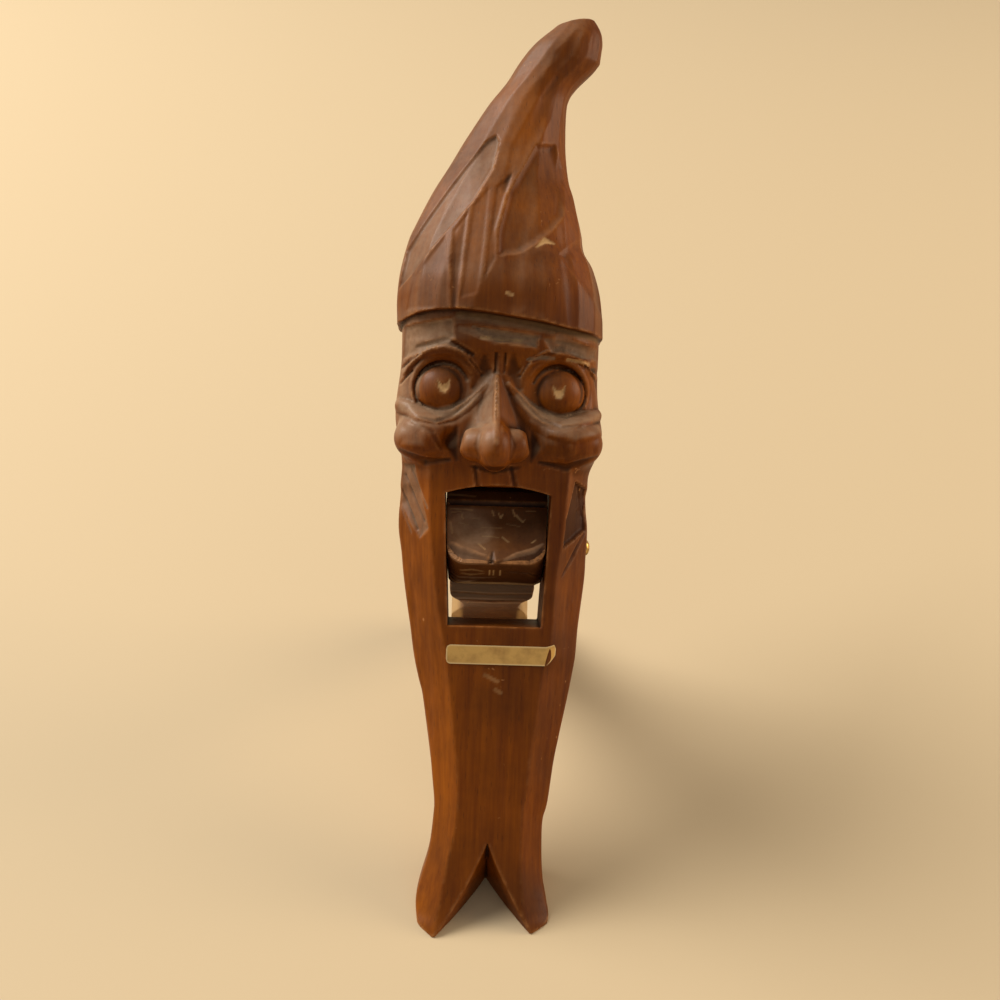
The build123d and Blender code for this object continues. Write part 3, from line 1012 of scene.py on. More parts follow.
@dataclass
class CarvedGnome:
    """The gnome: legs, mouth frame, face and hat, carved from one block."""

    stance: Stance
    step: float
    block_low: Point = (-31.0, -32.5, -2.0)
    block_high: Point = (31.0, 21.5, 245.0)
    notch_below: float = 60.0
    head_from: float = 108.0
    face_from: float = 112.0
    face_to: float = 166.0
    hat_from: float = 148.0
    front: float = -14.5
    post_depth: float = 22.5
    post_top: float = 126.0
    rear_run: float = 4.5
    rear_width: float = 5.5
    toe_height: float = 14.0
    toe_turn: float = 0.035
    left_side: Table = (
        (-6.0, -15.4), (1.8, -16.5), (8.1, -17.5), (12.6, -17.8), (17.5, -16.7), (24.4, -14.9),
        (32.3, -14.1), (37.2, -14.0), (45.0, -15.0), (54.0, -16.3), (63.8, -17.9), (67.7, -18.9),
        (74.6, -20.5), (82.5, -21.7), (94.3, -23.6), (100.2, -24.3), (107.1, -25.2), (114.0, -25.0),
        (122.0, -24.4))
    right_side: Table = (
        (-6.0, 13.8), (1.8, 14.4), (8.1, 16.1), (12.6, 15.6), (17.5, 14.6), (24.4, 14.1), (32.3, 14.1),
        (37.2, 15.2), (47.1, 16.4), (54.0, 17.6), (63.8, 19.5), (67.7, 20.2), (74.6, 21.3), (82.5, 21.8),
        (94.3, 23.0), (100.2, 23.2), (107.1, 23.4), (114.0, 22.8), (122.0, 22.6))
    left_flat: Table = (
        (-2.0, -13.4), (4.4, -13.0), (12.1, -11.8), (22.7, -10.1), (29.4, -8.8), (35.2, -8.1), (42.9, -8.2),
        (51.5, -8.9), (59.2, -9.9), (70.7, -11.3), (75.6, -12.2), (85.2, -14.0), (94.8, -15.5),
        (106.3, -16.7), (126.0, -17.7))
    right_flat: Table = (
        (-2.0, 10.4), (4.4, 10.1), (12.1, 9.6), (22.7, 8.7), (35.2, 8.8), (42.9, 9.9), (51.5, 10.2),
        (59.2, 11.3), (70.7, 12.5), (75.6, 14.1), (85.2, 14.9), (94.8, 15.4), (106.3, 16.7), (126.0, 18.1))
    back_side: Table = ((-6.0, 2.0), (8.0, 2.1), (20.0, 2.4), (33.0, 2.2), (47.0, 3.0), (60.0, 5.0),
                        (74.0, 7.4), (84.0, 8.0), (110.0, 8.0), (126.0, 9.0))
    front_side: Table = ((-6.0, -16.6), (4.0, -16.3), (10.0, -15.3), (17.0, -14.5), (24.0, -14.2),
                         (47.0, -14.4), (60.0, -14.5), (130.0, -14.5))
    chamfer_run: Table = ((-6.0, 3.0), (5.0, 3.4), (26.0, 8.0), (130.0, 8.0))
    head_left: Table = ((112.0, -24.6), (120.0, -24.2), (124.0, -24.4), (128.5, -25.7), (134.0, -26.9),
                        (139.5, -26.9), (147.6, -26.0), (153.0, -25.8), (168.0, -26.0))
    head_right: Table = ((112.0, 23.0), (120.0, 22.7), (125.0, 24.8), (130.0, 26.2), (135.0, 26.2),
                         (142.0, 25.2), (153.0, 25.0), (168.0, 25.0))
    head_front: Table = ((112.0, -13.6), (120.0, -14.0), (126.0, -15.6), (134.0, -16.4), (143.0, -17.2),
                         (149.0, -18.0), (152.5, -19.6), (157.0, -20.2), (168.0, -20.6))
    head_back: Table = ((112.0, 7.6), (120.0, 8.8), (127.0, 12.4), (136.0, 15.5), (147.0, 17.0),
                        (158.0, 17.6), (170.0, 16.5))
    hat_left: Table = (
        (150.0, -27.0), (159.0, -27.3), (165.0, -27.5), (172.0, -26.9), (179.6, -25.2), (184.0, -23.5),
        (193.0, -19.3), (200.5, -15.0), (208.0, -10.9), (216.5, -5.8), (222.5, -1.2), (228.0, 2.0),
        (233.0, 5.8), (238.0, 11.2), (242.0, 14.6))
    hat_right: Table = (
        (150.0, 26.2), (157.0, 26.0), (162.0, 25.8), (168.5, 25.0), (175.0, 23.2), (179.0, 21.1),
        (184.0, 20.2), (192.0, 18.3), (197.0, 16.6), (205.0, 15.5), (215.0, 15.4), (219.6, 16.2),
        (223.0, 18.4), (227.7, 23.0), (230.0, 23.9), (236.5, 23.9), (242.0, 20.4))
    hat_front: Table = ((150.0, -23.6), (166.0, -24.0), (174.0, -22.4), (184.0, -19.4), (196.0, -15.4),
                        (208.0, -11.2), (218.0, -8.6), (227.0, -7.4), (234.0, -6.2), (241.0, -2.2))
    hat_back: Table = ((150.0, 18.6), (159.0, 19.0), (166.0, 18.6), (174.0, 17.2), (184.0, 15.2),
                       (196.0, 13.4), (208.0, 11.2), (218.0, 10.2), (227.0, 9.8), (234.0, 8.4), (241.0, 4.6))
    eyes: tuple[tuple[float, float], ...] = ((-14.7, 142.2), (14.0, 142.0))
    nose_x: float = -1.3
    nose_low: float = 128.0
    nose_high: float = 146.6
    nose_back: float = -9.0
    nose_crest: Table = ((116.0, -26.0), (128.0, -26.0), (133.0, -24.2), (138.0, -22.2), (143.0, -20.2),
                         (145.4, -18.8), (147.0, -16.4), (150.0, -15.0))
    nose_spread: Table = ((116.0, 0.8), (130.0, 0.75), (138.0, 0.8), (144.0, 0.75), (150.0, 0.7))
    brim_edge: Table = ((-34.0, 156.4), (-25.7, 159.6), (-20.0, 161.0), (-12.0, 161.4), (-4.0, 160.7),
                        (8.0, 159.1), (16.0, 157.8), (26.0, 157.0), (34.0, 156.6))
    brim_front: float = -20.0
    brim_fall: float = 0.055
    head_square: float = 3.0
    head_size: float = 19.0
    jaw_line: float = 117.5
    cheeks: tuple[Egg, ...] = (
        Egg((-18.4, -11.2, 130.0), (8.4, 7.6, 6.6), 2.0, 6.0),
        Egg((17.4, -11.2, 129.7), (8.8, 7.8, 6.8), 2.0, -6.0))
    nose_lumps: tuple[Egg, ...] = (
        Egg((-6.4, -19.8, 128.2), (3.9, 5.0, 4.2), 1.0), Egg((3.8, -19.6, 128.2), (3.9, 5.0, 4.2), 1.0),
        Egg((-1.3, -22.4, 127.6), (4.6, 6.4, 6.0), 2.2))
    nose_hollows: tuple[Egg, ...] = (
        Egg((-12.2, -20.8, 129.4), (2.9, 5.6, 4.4), 0.9, -20.0),
        Egg((8.9, -20.8, 129.0), (2.1, 5.2, 4.0), 0.9, 15.0))
    eye_depth: float = -9.9
    eye_radii: Point = (7.4, 7.0, 7.4)
    relief_from: float = 116.0
    relief_back: float = -4.0
    hat_square: Table = ((145.0, 3.0), (165.0, 2.8), (185.0, 2.4), (205.0, 2.1), (246.0, 2.0))
    twist_from: float = 160.0
    hat_twist: float = 0.35
    hat_top: float = 239.5
    tip_middle: float = 17.0
    tip_slope: float = 0.2
    hat_cuts: Table = (
        (0, 0.99), (33, 0.955), (62, 0.97), (95, 0.96), (128, 0.965), (152, 0.96), (180, 0.99), (207, 0.955),
        (232, 0.96), (252, 0.965), (272, 0.965), (296, 0.955), (322, 0.96), (345, 0.965))
    bore_radius: float = 1.3
    bore_end: float = 19.8
    dent_radius: float = 2.4
    dent_floor: float = 22.95
    sill: float = 82.7
    ceiling: float = 117.8
    window_bottom: float = 11.8
    window_top: float = 13.5
    arch_from: float = -10.0
    arch_rise: float = 0.35
    arch_bend: float = 0.012
    notch_peak: float = 28.3
    notch_spread: float = 0.4
    notch_slope: float = 43.8
    notch_flare: float = 0.0035
    # Direction of the window light, and how strongly face and hat take the painted sheen that faces it
    sheen_towards: Point = (-0.5, -0.5, 0.707)
    sheen_face: float = 0.85
    sheen_hat: float = 0.35

    def build(self, material: bpy.types.Material) -> bpy.types.Object:
        """Carves the gnome and dresses it.

        Args:
            material: Its wood.

        Returns:
            The piece, with its material.
        """
        grid = CarvingGrid(self.block_low, self.block_high, self.step)
        carved = CarvedMesh(*grid.carve(self.form))
        carved.cut(self.hat_facets() + self.frame_facets() + self.face_facets() + self.pupils())
        carved.cut(self.hat_flutes() + self.face_lines() + self.frame_lines())
        carved.gouge_at_random(seed=14, count=90, where=self.may_gouge,
                               length=13.0, half_width=2.6, depth=0.16)
        carved.gouge_at_random(seed=15, count=60, where=self.may_gouge,
                               length=6.0, half_width=1.6, depth=0.12)
        carved.read_wear()
        self.paint_light_and_wear(carved)
        piece = mesh_object("gnome_carving", carved, self.stance, CRISP_WOOD)
        piece.data.materials.append(material)
        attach(piece, "gnome")
        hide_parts("carved_body")
        return piece

    def paint_light_and_wear(self, carved: CarvedMesh) -> None:
        """Paints sheen on face and hat: paler where the wood faces up and towards the window light, weaker
        on the eyeballs.

        Args:
            carved: The carved gnome.
        """
        facing = carved.normals() @ np.array(self.sheen_towards)
        height = carved.vertices[:, 2]
        face = np.clip((height - 119.0) / 14.0, 0.0, 1.0) * np.clip((165.0 - height) / 6.0, 0.0, 1.0)
        hat = np.clip((height - 163.0) / 6.0, 0.0, 1.0)
        sheen = np.clip((facing - 0.42) * 2.6, 0.0, 1.0) * (self.sheen_face * face + self.sheen_hat * hat)
        for eye_x, eye_z in self.eyes:
            away = np.hypot(carved.vertices[:, 0] - eye_x, height - eye_z)
            sheen = sheen * np.clip((away - 5.6) / 0.6, 0.25, 1.0)
        carved.note("pale", sheen)

    def form(self, x: Array, y: Array, z: Array) -> Array:
        """Distance to the whole gnome before the knife's fine work.

        Args:
            x: Places across, mm.
            y: Places from front to back, mm.
            z: Heights, mm.

        Returns:
            Distance to its surface, below zero inside, mm.
        """
        shape = self.legs_and_frame(x, y, z)
        if z.max() > self.head_from:
            shape = joined(shape, self.head(x, y, z), 2.0)
        if self.face_from < z.max() and z.min() < self.face_to:
            shape = self.face((x, y, z), shape)
        if z.max() > self.hat_from:
            shape = joined(shape, self.hat(x, y, z), 0.5)
        shape = pared(shape, self.window(x, y, z), 0.35)
        shape = pared(shape, self.nail_bore(x, y, z), 0.1)
        if z.min() < self.notch_below:
            shape = pared(shape, self.notch(x, y, z), 0.4)
            shape = common(shape, self.stance.floor_depth(y, z), 0.5)
        return shape

    def legs_and_frame(self, x: Array, y: Array, z: Array) -> Array:
        """Eight-sided post from the toes up to the head.

        Args:
            x: Places across, mm.
            y: Places from front to back, mm.
            z: Heights, mm.

        Returns:
            Distance to its surface, below zero inside, mm.
        """
        front, back = along(z, self.front_side), along(z, self.back_side)
        front = front + np.clip((self.toe_height - z) / self.toe_height, 0.0, 1.0) * self.toe_turn * x
        depth = (back - front) / self.post_depth
        wide_front, wide_back = front + along(z, self.chamfer_run) * depth, back - self.rear_run * depth
        shape = common(front - y, y - back, 0.5)
        for sign, side_table, flat_table in ((-1.0, self.left_side, self.left_flat),
                                             (1.0, self.right_side, self.right_flat)):
            side, flat = sign * along(z, side_table), sign * along(z, flat_table)
            out = sign * x
            run_x, run_y = side - flat, wide_front - front
            length = np.sqrt(run_x ** 2 + run_y ** 2)
            chamfer = ((out - flat) * run_y - (y - front) * run_x) / length
            run_x, run_y = -self.rear_width, back - wide_back
            length = np.sqrt(run_x ** 2 + run_y ** 2)
            rear = ((out - side) * run_y - (y - wide_back) * run_x) / length
            shape = common(shape, common(out - side, common(chamfer, rear, 0.5), 0.5), 0.4)
        return common(shape, z - self.post_top, 1.0)

    def head(self, x: Array, y: Array, z: Array) -> Array:
        """Head without its features.

        Args:
            x: Places across, mm.
            y: Places from front to back, mm.
            z: Heights, mm.

        Returns:
            Distance to its surface, below zero inside, mm.
        """
        left, right = along(z, self.head_left), along(z, self.head_right)
        front, back = along(z, self.head_front), along(z, self.head_back)
        across = np.abs((x - (left + right) / 2) / ((right - left) / 2))
        deep = np.abs((y - (front + back) / 2) / ((back - front) / 2))
        near = (across ** self.head_square + deep ** self.head_square) ** (1 / self.head_square)
        shape = (near - 1.0) * self.head_size
        shape = common(shape, z - self.brim(x, y) - 1.5, 0.5)
        return common(shape, self.jaw_line - z - 0.25 * np.maximum(y - 6.0, 0.0), 1.5)

    def face(self, place: Place, shape: Array) -> Array:
        """Sockets, eyes, lids, nose and cheeks, on the head.

        Args:
            place: Coordinates, mm.
            shape: Distance to the plain head.

        Returns:
            Distance to its surface, below zero inside, mm.
        """
        for cheek in self.cheeks:
            shape = joined(shape, cheek.distance(place), cheek.softness)
        shape = shape - self.relief(*place)
        for eye_x, eye_z in self.eyes:
            eye = Egg((eye_x, self.eye_depth, eye_z), self.eye_radii, 0.15)
            shape = joined(shape, eye.distance(place), eye.softness)
        shape = joined(shape, self.nose_wedge(*place), 1.0)
        for lump in self.nose_lumps:
            shape = joined(shape, lump.distance(place), lump.softness)
        for hollow in self.nose_hollows:
            shape = pared(shape, hollow.distance(place), hollow.softness)
        return shape

    def nose_wedge(self, x: Array, y: Array, z: Array) -> Array:
        """Bridge of the nose: two planes that meet in a crest.

        Args:
            x: Places across, mm.
            y: Places from front to back, mm.
            z: Heights, mm.

        Returns:
            Distance to its surface, below zero inside, mm.
        """
        behind = y - along(z, self.nose_crest)
        spread = along(z, self.nose_spread)
        planes = (np.abs(x - self.nose_x) - behind * spread) / np.sqrt(1.0 + spread ** 2)
        wedge = np.maximum(common(planes, self.nose_low - z, 1.0), y - self.nose_back)
        return common(wedge, z - self.nose_high, 0.8)

    def relief(self, x: Array, y: Array, z: Array) -> Array:
        """Height of the face's carving over the plain head, mm.

        Args:
            x: Places across, mm.
            y: Places from front to back, mm.
            z: Heights, mm.

        Returns:
            The height at each place, mm.
        """
        if x.ndim == 1 and x.shape == y.shape:
            near = (z > self.relief_from) & (z < self.face_to) & (y < self.relief_back)
            height = np.zeros_like(x)
            height[near] = sum(-cut.depth * cut.profile(x[near], z[near]) for cut in self.face_forms())
        else:
            height = sum(-cut.depth * cut.profile(x, z) for cut in self.face_forms())
        return height * np.clip((self.relief_back - y) / 5.0, 0.0, 1.0)

    def face_forms(self) -> tuple[Stroke, ...]:
        """Hollows, rolls and facets that shape the face.

        Returns:
            The forms as strokes.
        """
        forms = []
        for eye_x, eye_z in self.eyes:
            side = -1.0 if eye_x < 0 else 1.0
            forms += [
                Stroke(((eye_x - 0.1, eye_z + 0.6, 9.6), (eye_x + 0.1, eye_z - 0.4, 9.6)), 1.9, soft=True),
                Stroke(arc_line((eye_x, eye_z), (7.9, 8.0), (90.0 - side * 115.0, 90.0 + side * 60.0),
                                (0.6, 1.15, 0.6)), -0.6),
                Stroke(arc_line((eye_x, eye_z), (6.4, 6.5), (90.0 - side * 130.0, 90.0 + side * 70.0),
                                (0.5, 0.95, 0.5)), 0.75),
                Stroke(arc_line((eye_x + side * 0.4, 142.0), (10.6, 9.6), (25.0, 155.0),
                                (0.6, 1.5, 0.6)), -0.9),
            ]
        forms += [
            Stroke(((-3.6, 143.2, 0.9), (-6.0, 140.6, 1.3), (-9.0, 138.0, 1.7), (-12.4, 136.0, 2.0),
                    (-16.2, 135.2, 2.2), (-20.6, 136.0, 2.3), (-26.0, 138.0, 1.9)), -1.2),
            Stroke(((1.8, 143.4, 0.9), (4.2, 140.6, 1.3), (7.4, 137.6, 1.6), (11.0, 135.4, 1.8),
                    (15.2, 134.6, 1.9), (19.8, 135.2, 2.0), (25.4, 137.0, 1.7)), -1.1),
            Stroke(((2.6, 140.0, 0.8), (7.0, 135.2, 1.6), (12.4, 132.4, 2.2), (19.0, 131.6, 2.5),
                    (26.0, 133.4, 2.0)), -0.6),
            Stroke(((-4.4, 150.0, 1.2), (-4.6, 146.6, 2.6), (-6.6, 142.6, 1.4)), 0.9, soft=True),
            Stroke(((2.6, 150.4, 1.2), (3.0, 146.8, 2.6), (4.6, 142.8, 1.4)), 0.9, soft=True),
        ]
        return tuple(forms)

    def brim(self, x: Array, y: Array) -> Array:
        """Height of the hat's lower edge."""
        return along(x, self.brim_edge) - self.brim_fall * (y - self.brim_front)

    def hat(self, x: Array, y: Array, z: Array) -> Array:
        """Tall cone that bends over to one side, in long flat facets.

        Args:
            x: Places across, mm.
            y: Places from front to back, mm.
            z: Heights, mm.

        Returns:
            Distance to its surface, below zero inside, mm.
        """
        left, right = along(z, self.hat_left), along(z, self.hat_right)
        front, back = along(z, self.hat_front), along(z, self.hat_back)
        across = (x - (left + right) / 2) / ((right - left) / 2)
        deep = (y - (front + back) / 2) / ((back - front) / 2)
        size = np.minimum(right - left, back - front) / 2
        square = along(z, self.hat_square)
        shape = ((np.abs(across) ** square + np.abs(deep) ** square) ** (1 / square) - 1.0) * size
        twist = np.radians(self.hat_twist * (z - self.twist_from))
        dual = square / (square - 1.0)
        for angle, reach in self.hat_cuts:
            turn = radians(angle) + twist * (0.0 if angle in (0, 180) else 1.0)
            support = (np.abs(np.cos(turn)) ** dual + np.abs(np.sin(turn)) ** dual) ** (1 / dual)
            facet = (across * np.cos(turn) + deep * np.sin(turn) - reach * support) * size
            shape = common(shape, facet, 0.2)
        shape = common(shape, self.brim(x, y) - z, 0.25)
        return common(shape, z - self.hat_top - self.tip_slope * (x - self.tip_middle), 0.5)

    def nail_bore(self, x: Array, y: Array, z: Array) -> Array:
        """Hole across the window that stops short of one side, with the dent of the nail's head.

        Args:
            x: Places across, mm.
            y: Places from front to back, mm.
            z: Heights, mm.

        Returns:
            Distance to its surface, below zero inside, mm.
        """
        away = np.sqrt(y ** 2 + (z - self.stance.pin_height) ** 2)
        bore = np.maximum(away - self.bore_radius, -self.bore_end - x)
        return np.minimum(bore, np.maximum(away - self.dent_radius, self.dent_floor - x))

    def window(self, x: Array, y: Array, z: Array) -> Array:
        """Mouth window, right through the frame, with a lightly arched roof.

        Args:
            x: Places across, mm.
            y: Places from front to back, mm.
            z: Heights, mm.

        Returns:
            Distance to its surface, below zero inside, mm.
        """
        spread = self.window_top - self.window_bottom
        half = self.window_bottom + spread * (z - self.sill) / (self.ceiling - self.sill)
        forward = np.clip((self.arch_from - y) / 4.0, 0.0, 1.0)
        rise = np.where(y < self.arch_from, self.arch_rise - self.arch_bend * x ** 2, 0.0)
        arch = self.ceiling + rise * forward
        return np.maximum(np.maximum(np.abs(x) - half, self.sill - z), z - arch)

    def notch(self, x: Array, y: Array, z: Array) -> Array:
        """Wedge between the legs, its peak sloping down to the back.

        Args:
            x: Places across, mm.
            y: Places from front to back, mm.
            z: Heights, mm.

        Returns:
            Distance to its surface, below zero inside, mm.
        """
        peak = self.notch_peak - (y - self.front) * tan(radians(self.notch_slope))
        drop = peak - z
        half = np.maximum(drop, 0.0) * self.notch_spread + self.notch_flare * np.maximum(drop, 0.0) ** 2
        steep = 1.0 / np.sqrt(1.0 + (self.notch_spread + 0.15) ** 2)
        return np.maximum((np.abs(x) - half) * steep, -drop * 0.5)

    def may_gouge(self, points: Array, normals: Array) -> Array:
        """Places for knife cuts: sides, back and hat, but not the face, the window or the soles.

        Args:
            points: Vertices, mm.
            normals: Their directions.

        Returns:
            True where a cut may lie.
        """
        x, y, z = points.T
        face = (z > 112.0) & (z < 163.0) & (normals[:, 1] < 0.2)
        window = (np.abs(x) < 15.0) & (z > 80.0) & (z < 120.0)
        return ~face & ~window & (z > 22.0)

    @staticmethod
    def hat_facets() -> tuple[Shaving, ...]:
        """Large cuts of the hat that show from the front, with painted sheen on the left facets and painted
        shade on the broad right one.

        Returns:
            The facets, in the order in which they are taken off.
        """
        return (
            # Pale marks on the left facets: painted sheen
            Shaving(((-3.2, 207.3), (-2.3, 205.4), (-3.6, 197.9), (-8.3, 189.2), (-14.6, 181.7),
                     (-23.3, 170.5), (-26.8, 167.0), (-25.0, 177.3), (-20.2, 184.9), (-14.0, 194.2),
                     (-5.9, 205.4)), 0.6, 0.6, pale=0.6),
            Shaving(((-15.0, 180.6), (-22.8, 170.0), (-24.6, 161.4), (-13.6, 161.2), (-14.0, 172.0)),
                    0.2, 0.8, pale=0.3),
            Shaving(((-9.5, 187.0), (-13.4, 181.4), (-13.4, 172.0), (-13.0, 161.2), (-11.8, 161.2),
                     (-10.6, 176.0)), 0.35, 0.7, pale=0.2),
            Shaving(((-4.3, 193.5), (-8.6, 188.0), (-9.8, 177.0), (-11.0, 164.0), (-6.6, 165.0),
                     (-5.4, 178.0)), 0.2, 0.7, pale=0.15),
            Shaving(((1.4, 197.5), (-3.0, 193.0), (-4.6, 178.0), (-5.4, 168.0), (-2.4, 174.0),
                     (-2.6, 182.0), (-0.4, 191.0)), 0.3, 0.7),
            # Dark mark on the broad right facet: painted shade
            Shaving(((-2.0, 174.6), (-2.0, 181.3), (0.2, 191.6), (3.9, 198.7), (6.9, 205.0), (12.0, 206.0),
                     (14.2, 200.0), (15.0, 190.8), (14.5, 186.5), (11.5, 182.1), (7.7, 178.6),
                     (3.8, 175.8)), 0.8, 2.0, dark=0.3),
            Shaving(((13.0, 176.0), (20.0, 168.0), (27.0, 160.0), (27.0, 176.0), (21.0, 184.0)), 0.5, 2.0),
        )

    @staticmethod
    def hat_flutes() -> tuple[Stroke, ...]:
        """Narrow cuts side by side above the brim, and nicks.

        Returns:
            The strokes, in the order in which they are cut.
        """
        return (
            Stroke(((-0.6, 192.0, 0.98), (3.0, 203.0, 2.8), (8.0, 213.0, 2.8), (12.0, 223.0, 0.98)), 0.5,
                   pale=0.1),
            Stroke(((8.0, 218.0, 1.12), (14.0, 228.0, 3.2), (17.0, 235.0, 1.12)), 0.5),
            Stroke(((2.0, 174.0, 2.4), (3.0, 163.0, 2.4)), 0.18),
            Stroke(((9.0, 174.0, 2.6), (10.5, 162.0, 2.6)), 0.18),
            Stroke(((16.0, 173.0, 2.6), (18.0, 160.0, 2.6)), 0.18),
            Stroke(((7.6, 177.6, 0.32), (9.6, 179.4, 0.9), (12.0, 178.8, 0.32)), 0.25, raw=0.9),
            Stroke(((0.5, 165.5, 0.54), (1.8, 165.2, 0.54)), 0.12, raw=0.6),
        )

    @staticmethod
    def face_lines() -> tuple[Stroke, ...]:
        """Fine cuts of the face, with painted sheen on lids, brows and nose ridge, and painted shade in the
        creases beside the nose and under cheeks and nose.

        Returns:
            The strokes, in the order in which they are cut.
        """
        rings = tuple(
            stroke for x, z, side in ((-14.7, 142.2, -1.0), (14.0, 142.0, 1.0)) for stroke in (
                Stroke(arc_line((x, z), (6.4, 6.5), (90.0 - side * 110.0, 90.0 + side * 40.0),
                                (0.4, 0.75, 0.4)), 0.2, dark=0.8),
                Stroke(arc_line((x, z), (6.5, 6.6), (215.0, 325.0), (0.35, 0.7, 0.35)), 0.2, dark=0.7)))
        # Pale bands on the lower lids: painted sheen
        bags = (
            Stroke(((-6.0, 140.6, 1.4), (-10.6, 137.0, 2.0), (-16.0, 135.3, 2.2), (-24.8, 137.6, 1.8)), 0.05,
                   pale=1.0),
            Stroke(((4.4, 140.4, 1.4), (8.4, 136.8, 1.9), (14.6, 134.8, 2.1), (24.4, 136.8, 1.7)), 0.05,
                   pale=0.95),
            Stroke(((8.0, 134.8, 1.0), (18.6, 131.8, 1.9), (25.0, 133.4, 1.4)), 0.05, pale=0.6),
        )
        return rings + bags + (
            # Pale marks on brow and forehead cuts: painted sheen
            Stroke(((-11.0, 157.0, 0.66), (-2.0, 155.2, 1.9), (9.0, 155.4, 0.66)), 0.6, pale=0.8),
            Stroke(((-5.5, 154.8, 0.48), (4.5, 154.4, 0.48)), 0.3, raw=0.4),
            Stroke(((-23.5, 155.0, 0.91), (-17.0, 156.2, 2.6), (-13.0, 155.4, 0.91)), 0.4, pale=0.7),
            Stroke(((14.0, 155.0, 1.44), (22.5, 152.0, 1.44)), 0.4, pale=0.5),
            Stroke(((6.4, 149.9, 0.42), (12.9, 150.3, 0.42)), 0.35, pale=0.8),
            Stroke(((16.3, 150.2, 0.42), (22.0, 149.6, 0.42)), 0.35, raw=0.6),
            Stroke(((-1.6, 151.0, 0.42), (-1.7, 146.4, 0.42)), 0.5, dark=0.5),
            Stroke(((0.6, 151.0, 0.36), (0.5, 146.6, 0.36)), 0.45, dark=0.4),
            Stroke(((-8.2, 149.5, 0.36), (-5.0, 145.5, 0.36)), 0.4, dark=0.4),
            Stroke(((6.5, 149.0, 0.36), (4.4, 145.6, 0.36)), 0.4, dark=0.4),
            Stroke(((-25.5, 147.5, 0.36), (-20.5, 150.8, 0.36)), 0.4, dark=0.5),
            Stroke(((-25.8, 143.5, 0.36), (-22.6, 146.5, 0.36)), 0.4, dark=0.4),
            Stroke(((20.5, 149.5, 0.24), (24.4, 145.5, 0.7), (24.8, 142.0, 0.24)), 0.5, dark=0.6),
            # Roll along the nose ridge, its pale mark a painted highlight
            Stroke(((-1.3, 145.2, 0.7), (-1.2, 136.0, 1.1), (-1.1, 128.5, 0.7)), -0.3, pale=0.45),
            Stroke(((-4.0, 143.0, 0.21), (-8.6, 138.4, 0.6), (-12.4, 135.2, 0.6), (-16.4, 133.8, 0.6),
                    (-21.4, 135.0, 0.21)), 0.4, dark=0.3),
            Stroke(((2.6, 142.6, 0.21), (6.0, 138.8, 0.6), (10.0, 135.2, 0.6), (15.2, 133.2, 0.6),
                    (20.6, 134.0, 0.21)), 0.4, dark=0.3),
            # Pale lines on the lower lids: painted sheen
            Stroke(((-5.0, 142.8, 0.17), (-9.4, 139.2, 0.5), (-13.0, 137.2, 0.17)), 0.3, pale=0.6),
            Stroke(((3.4, 143.0, 0.17), (7.4, 139.2, 0.5), (12.0, 136.4, 0.5), (17.0, 135.6, 0.17)), 0.3,
                   pale=0.6),
            Stroke(((-6.0, 122.6, 0.7), (-5.2, 117.8, 0.7)), 0.45, dark=0.6),
            Stroke(((3.1, 122.6, 0.7), (4.2, 117.8, 0.7)), 0.45, dark=0.6),
            Stroke(((-22.0, 133.5, 0.5), (-17.0, 131.0, 0.8), (-14.5, 127.0, 0.5)), 0.3, dark=0.3),
            Stroke(((-5.0, 131.8, 0.5), (-5.7, 128.0, 0.9), (-5.1, 124.6, 0.5)), 0.25, dark=0.45),
            Stroke(((2.4, 131.8, 0.5), (3.1, 128.0, 0.9), (2.6, 124.6, 0.5)), 0.25, dark=0.45),
            # Dark marks in the creases beside the nose and under the cheeks and nose: painted shade
            Stroke(((-11.0, 132.4, 0.8), (-12.1, 128.4, 1.8), (-10.8, 124.6, 0.8)), 0.3, dark=1.0),
            Stroke(((7.9, 132.0, 0.6), (8.9, 128.2, 1.4), (7.9, 124.6, 0.6)), 0.3, dark=1.0),
            Stroke(((-25.0, 126.4, 0.5), (-18.6, 123.7, 1.1), (-12.4, 124.4, 0.5)), 0.6, dark=0.7),
            Stroke(((10.0, 124.4, 0.5), (16.8, 123.2, 1.1), (24.6, 126.2, 0.5)), 0.6, dark=0.7),
            Stroke(((-7.0, 122.9, 0.5), (-1.2, 121.9, 1.0), (5.0, 122.9, 0.5)), 0.3, dark=0.8),
            Stroke(((-21.4, 152.4, 0.6), (-14.0, 154.0, 1.0), (-7.4, 150.6, 0.6)), 0.6, dark=0.5),
            Stroke(((7.6, 149.4, 0.6), (14.4, 152.6, 1.0), (22.0, 150.6, 0.6)), 0.6, dark=0.5),
            Stroke(((21.0, 148.8, 0.6), (25.2, 147.8, 0.9)), 0.8, dark=0.6),
            Stroke(((-11.5, 160.2, 0.8), (-4.0, 159.5, 1.1), (8.0, 157.9, 1.1), (16.0, 156.6, 1.1),
                    (25.0, 155.6, 0.8)), 0.4, raw=0.16),
        )

    @staticmethod
    def pupils() -> tuple[Shaving, ...]:
        """Cup-shaped chips that leave the eyes' pupils in raw wood.

        Returns:
            One chip for each eye.
        """
        cup = ((-1.7, 1.9), (-1.5, 0.1), (-0.7, -1.5), (0.5, -1.7), (1.4, -0.4), (1.6, 2.3), (0.8, 0.9),
               (-0.4, 0.5), (-1.1, 1.3))
        return tuple(Shaving(tuple((x + across, z + up) for across, up in cup), 0.4, 0.45, raw=1.0)
                     for x, z in ((-14.5, 142.6), (14.4, 141.9)))

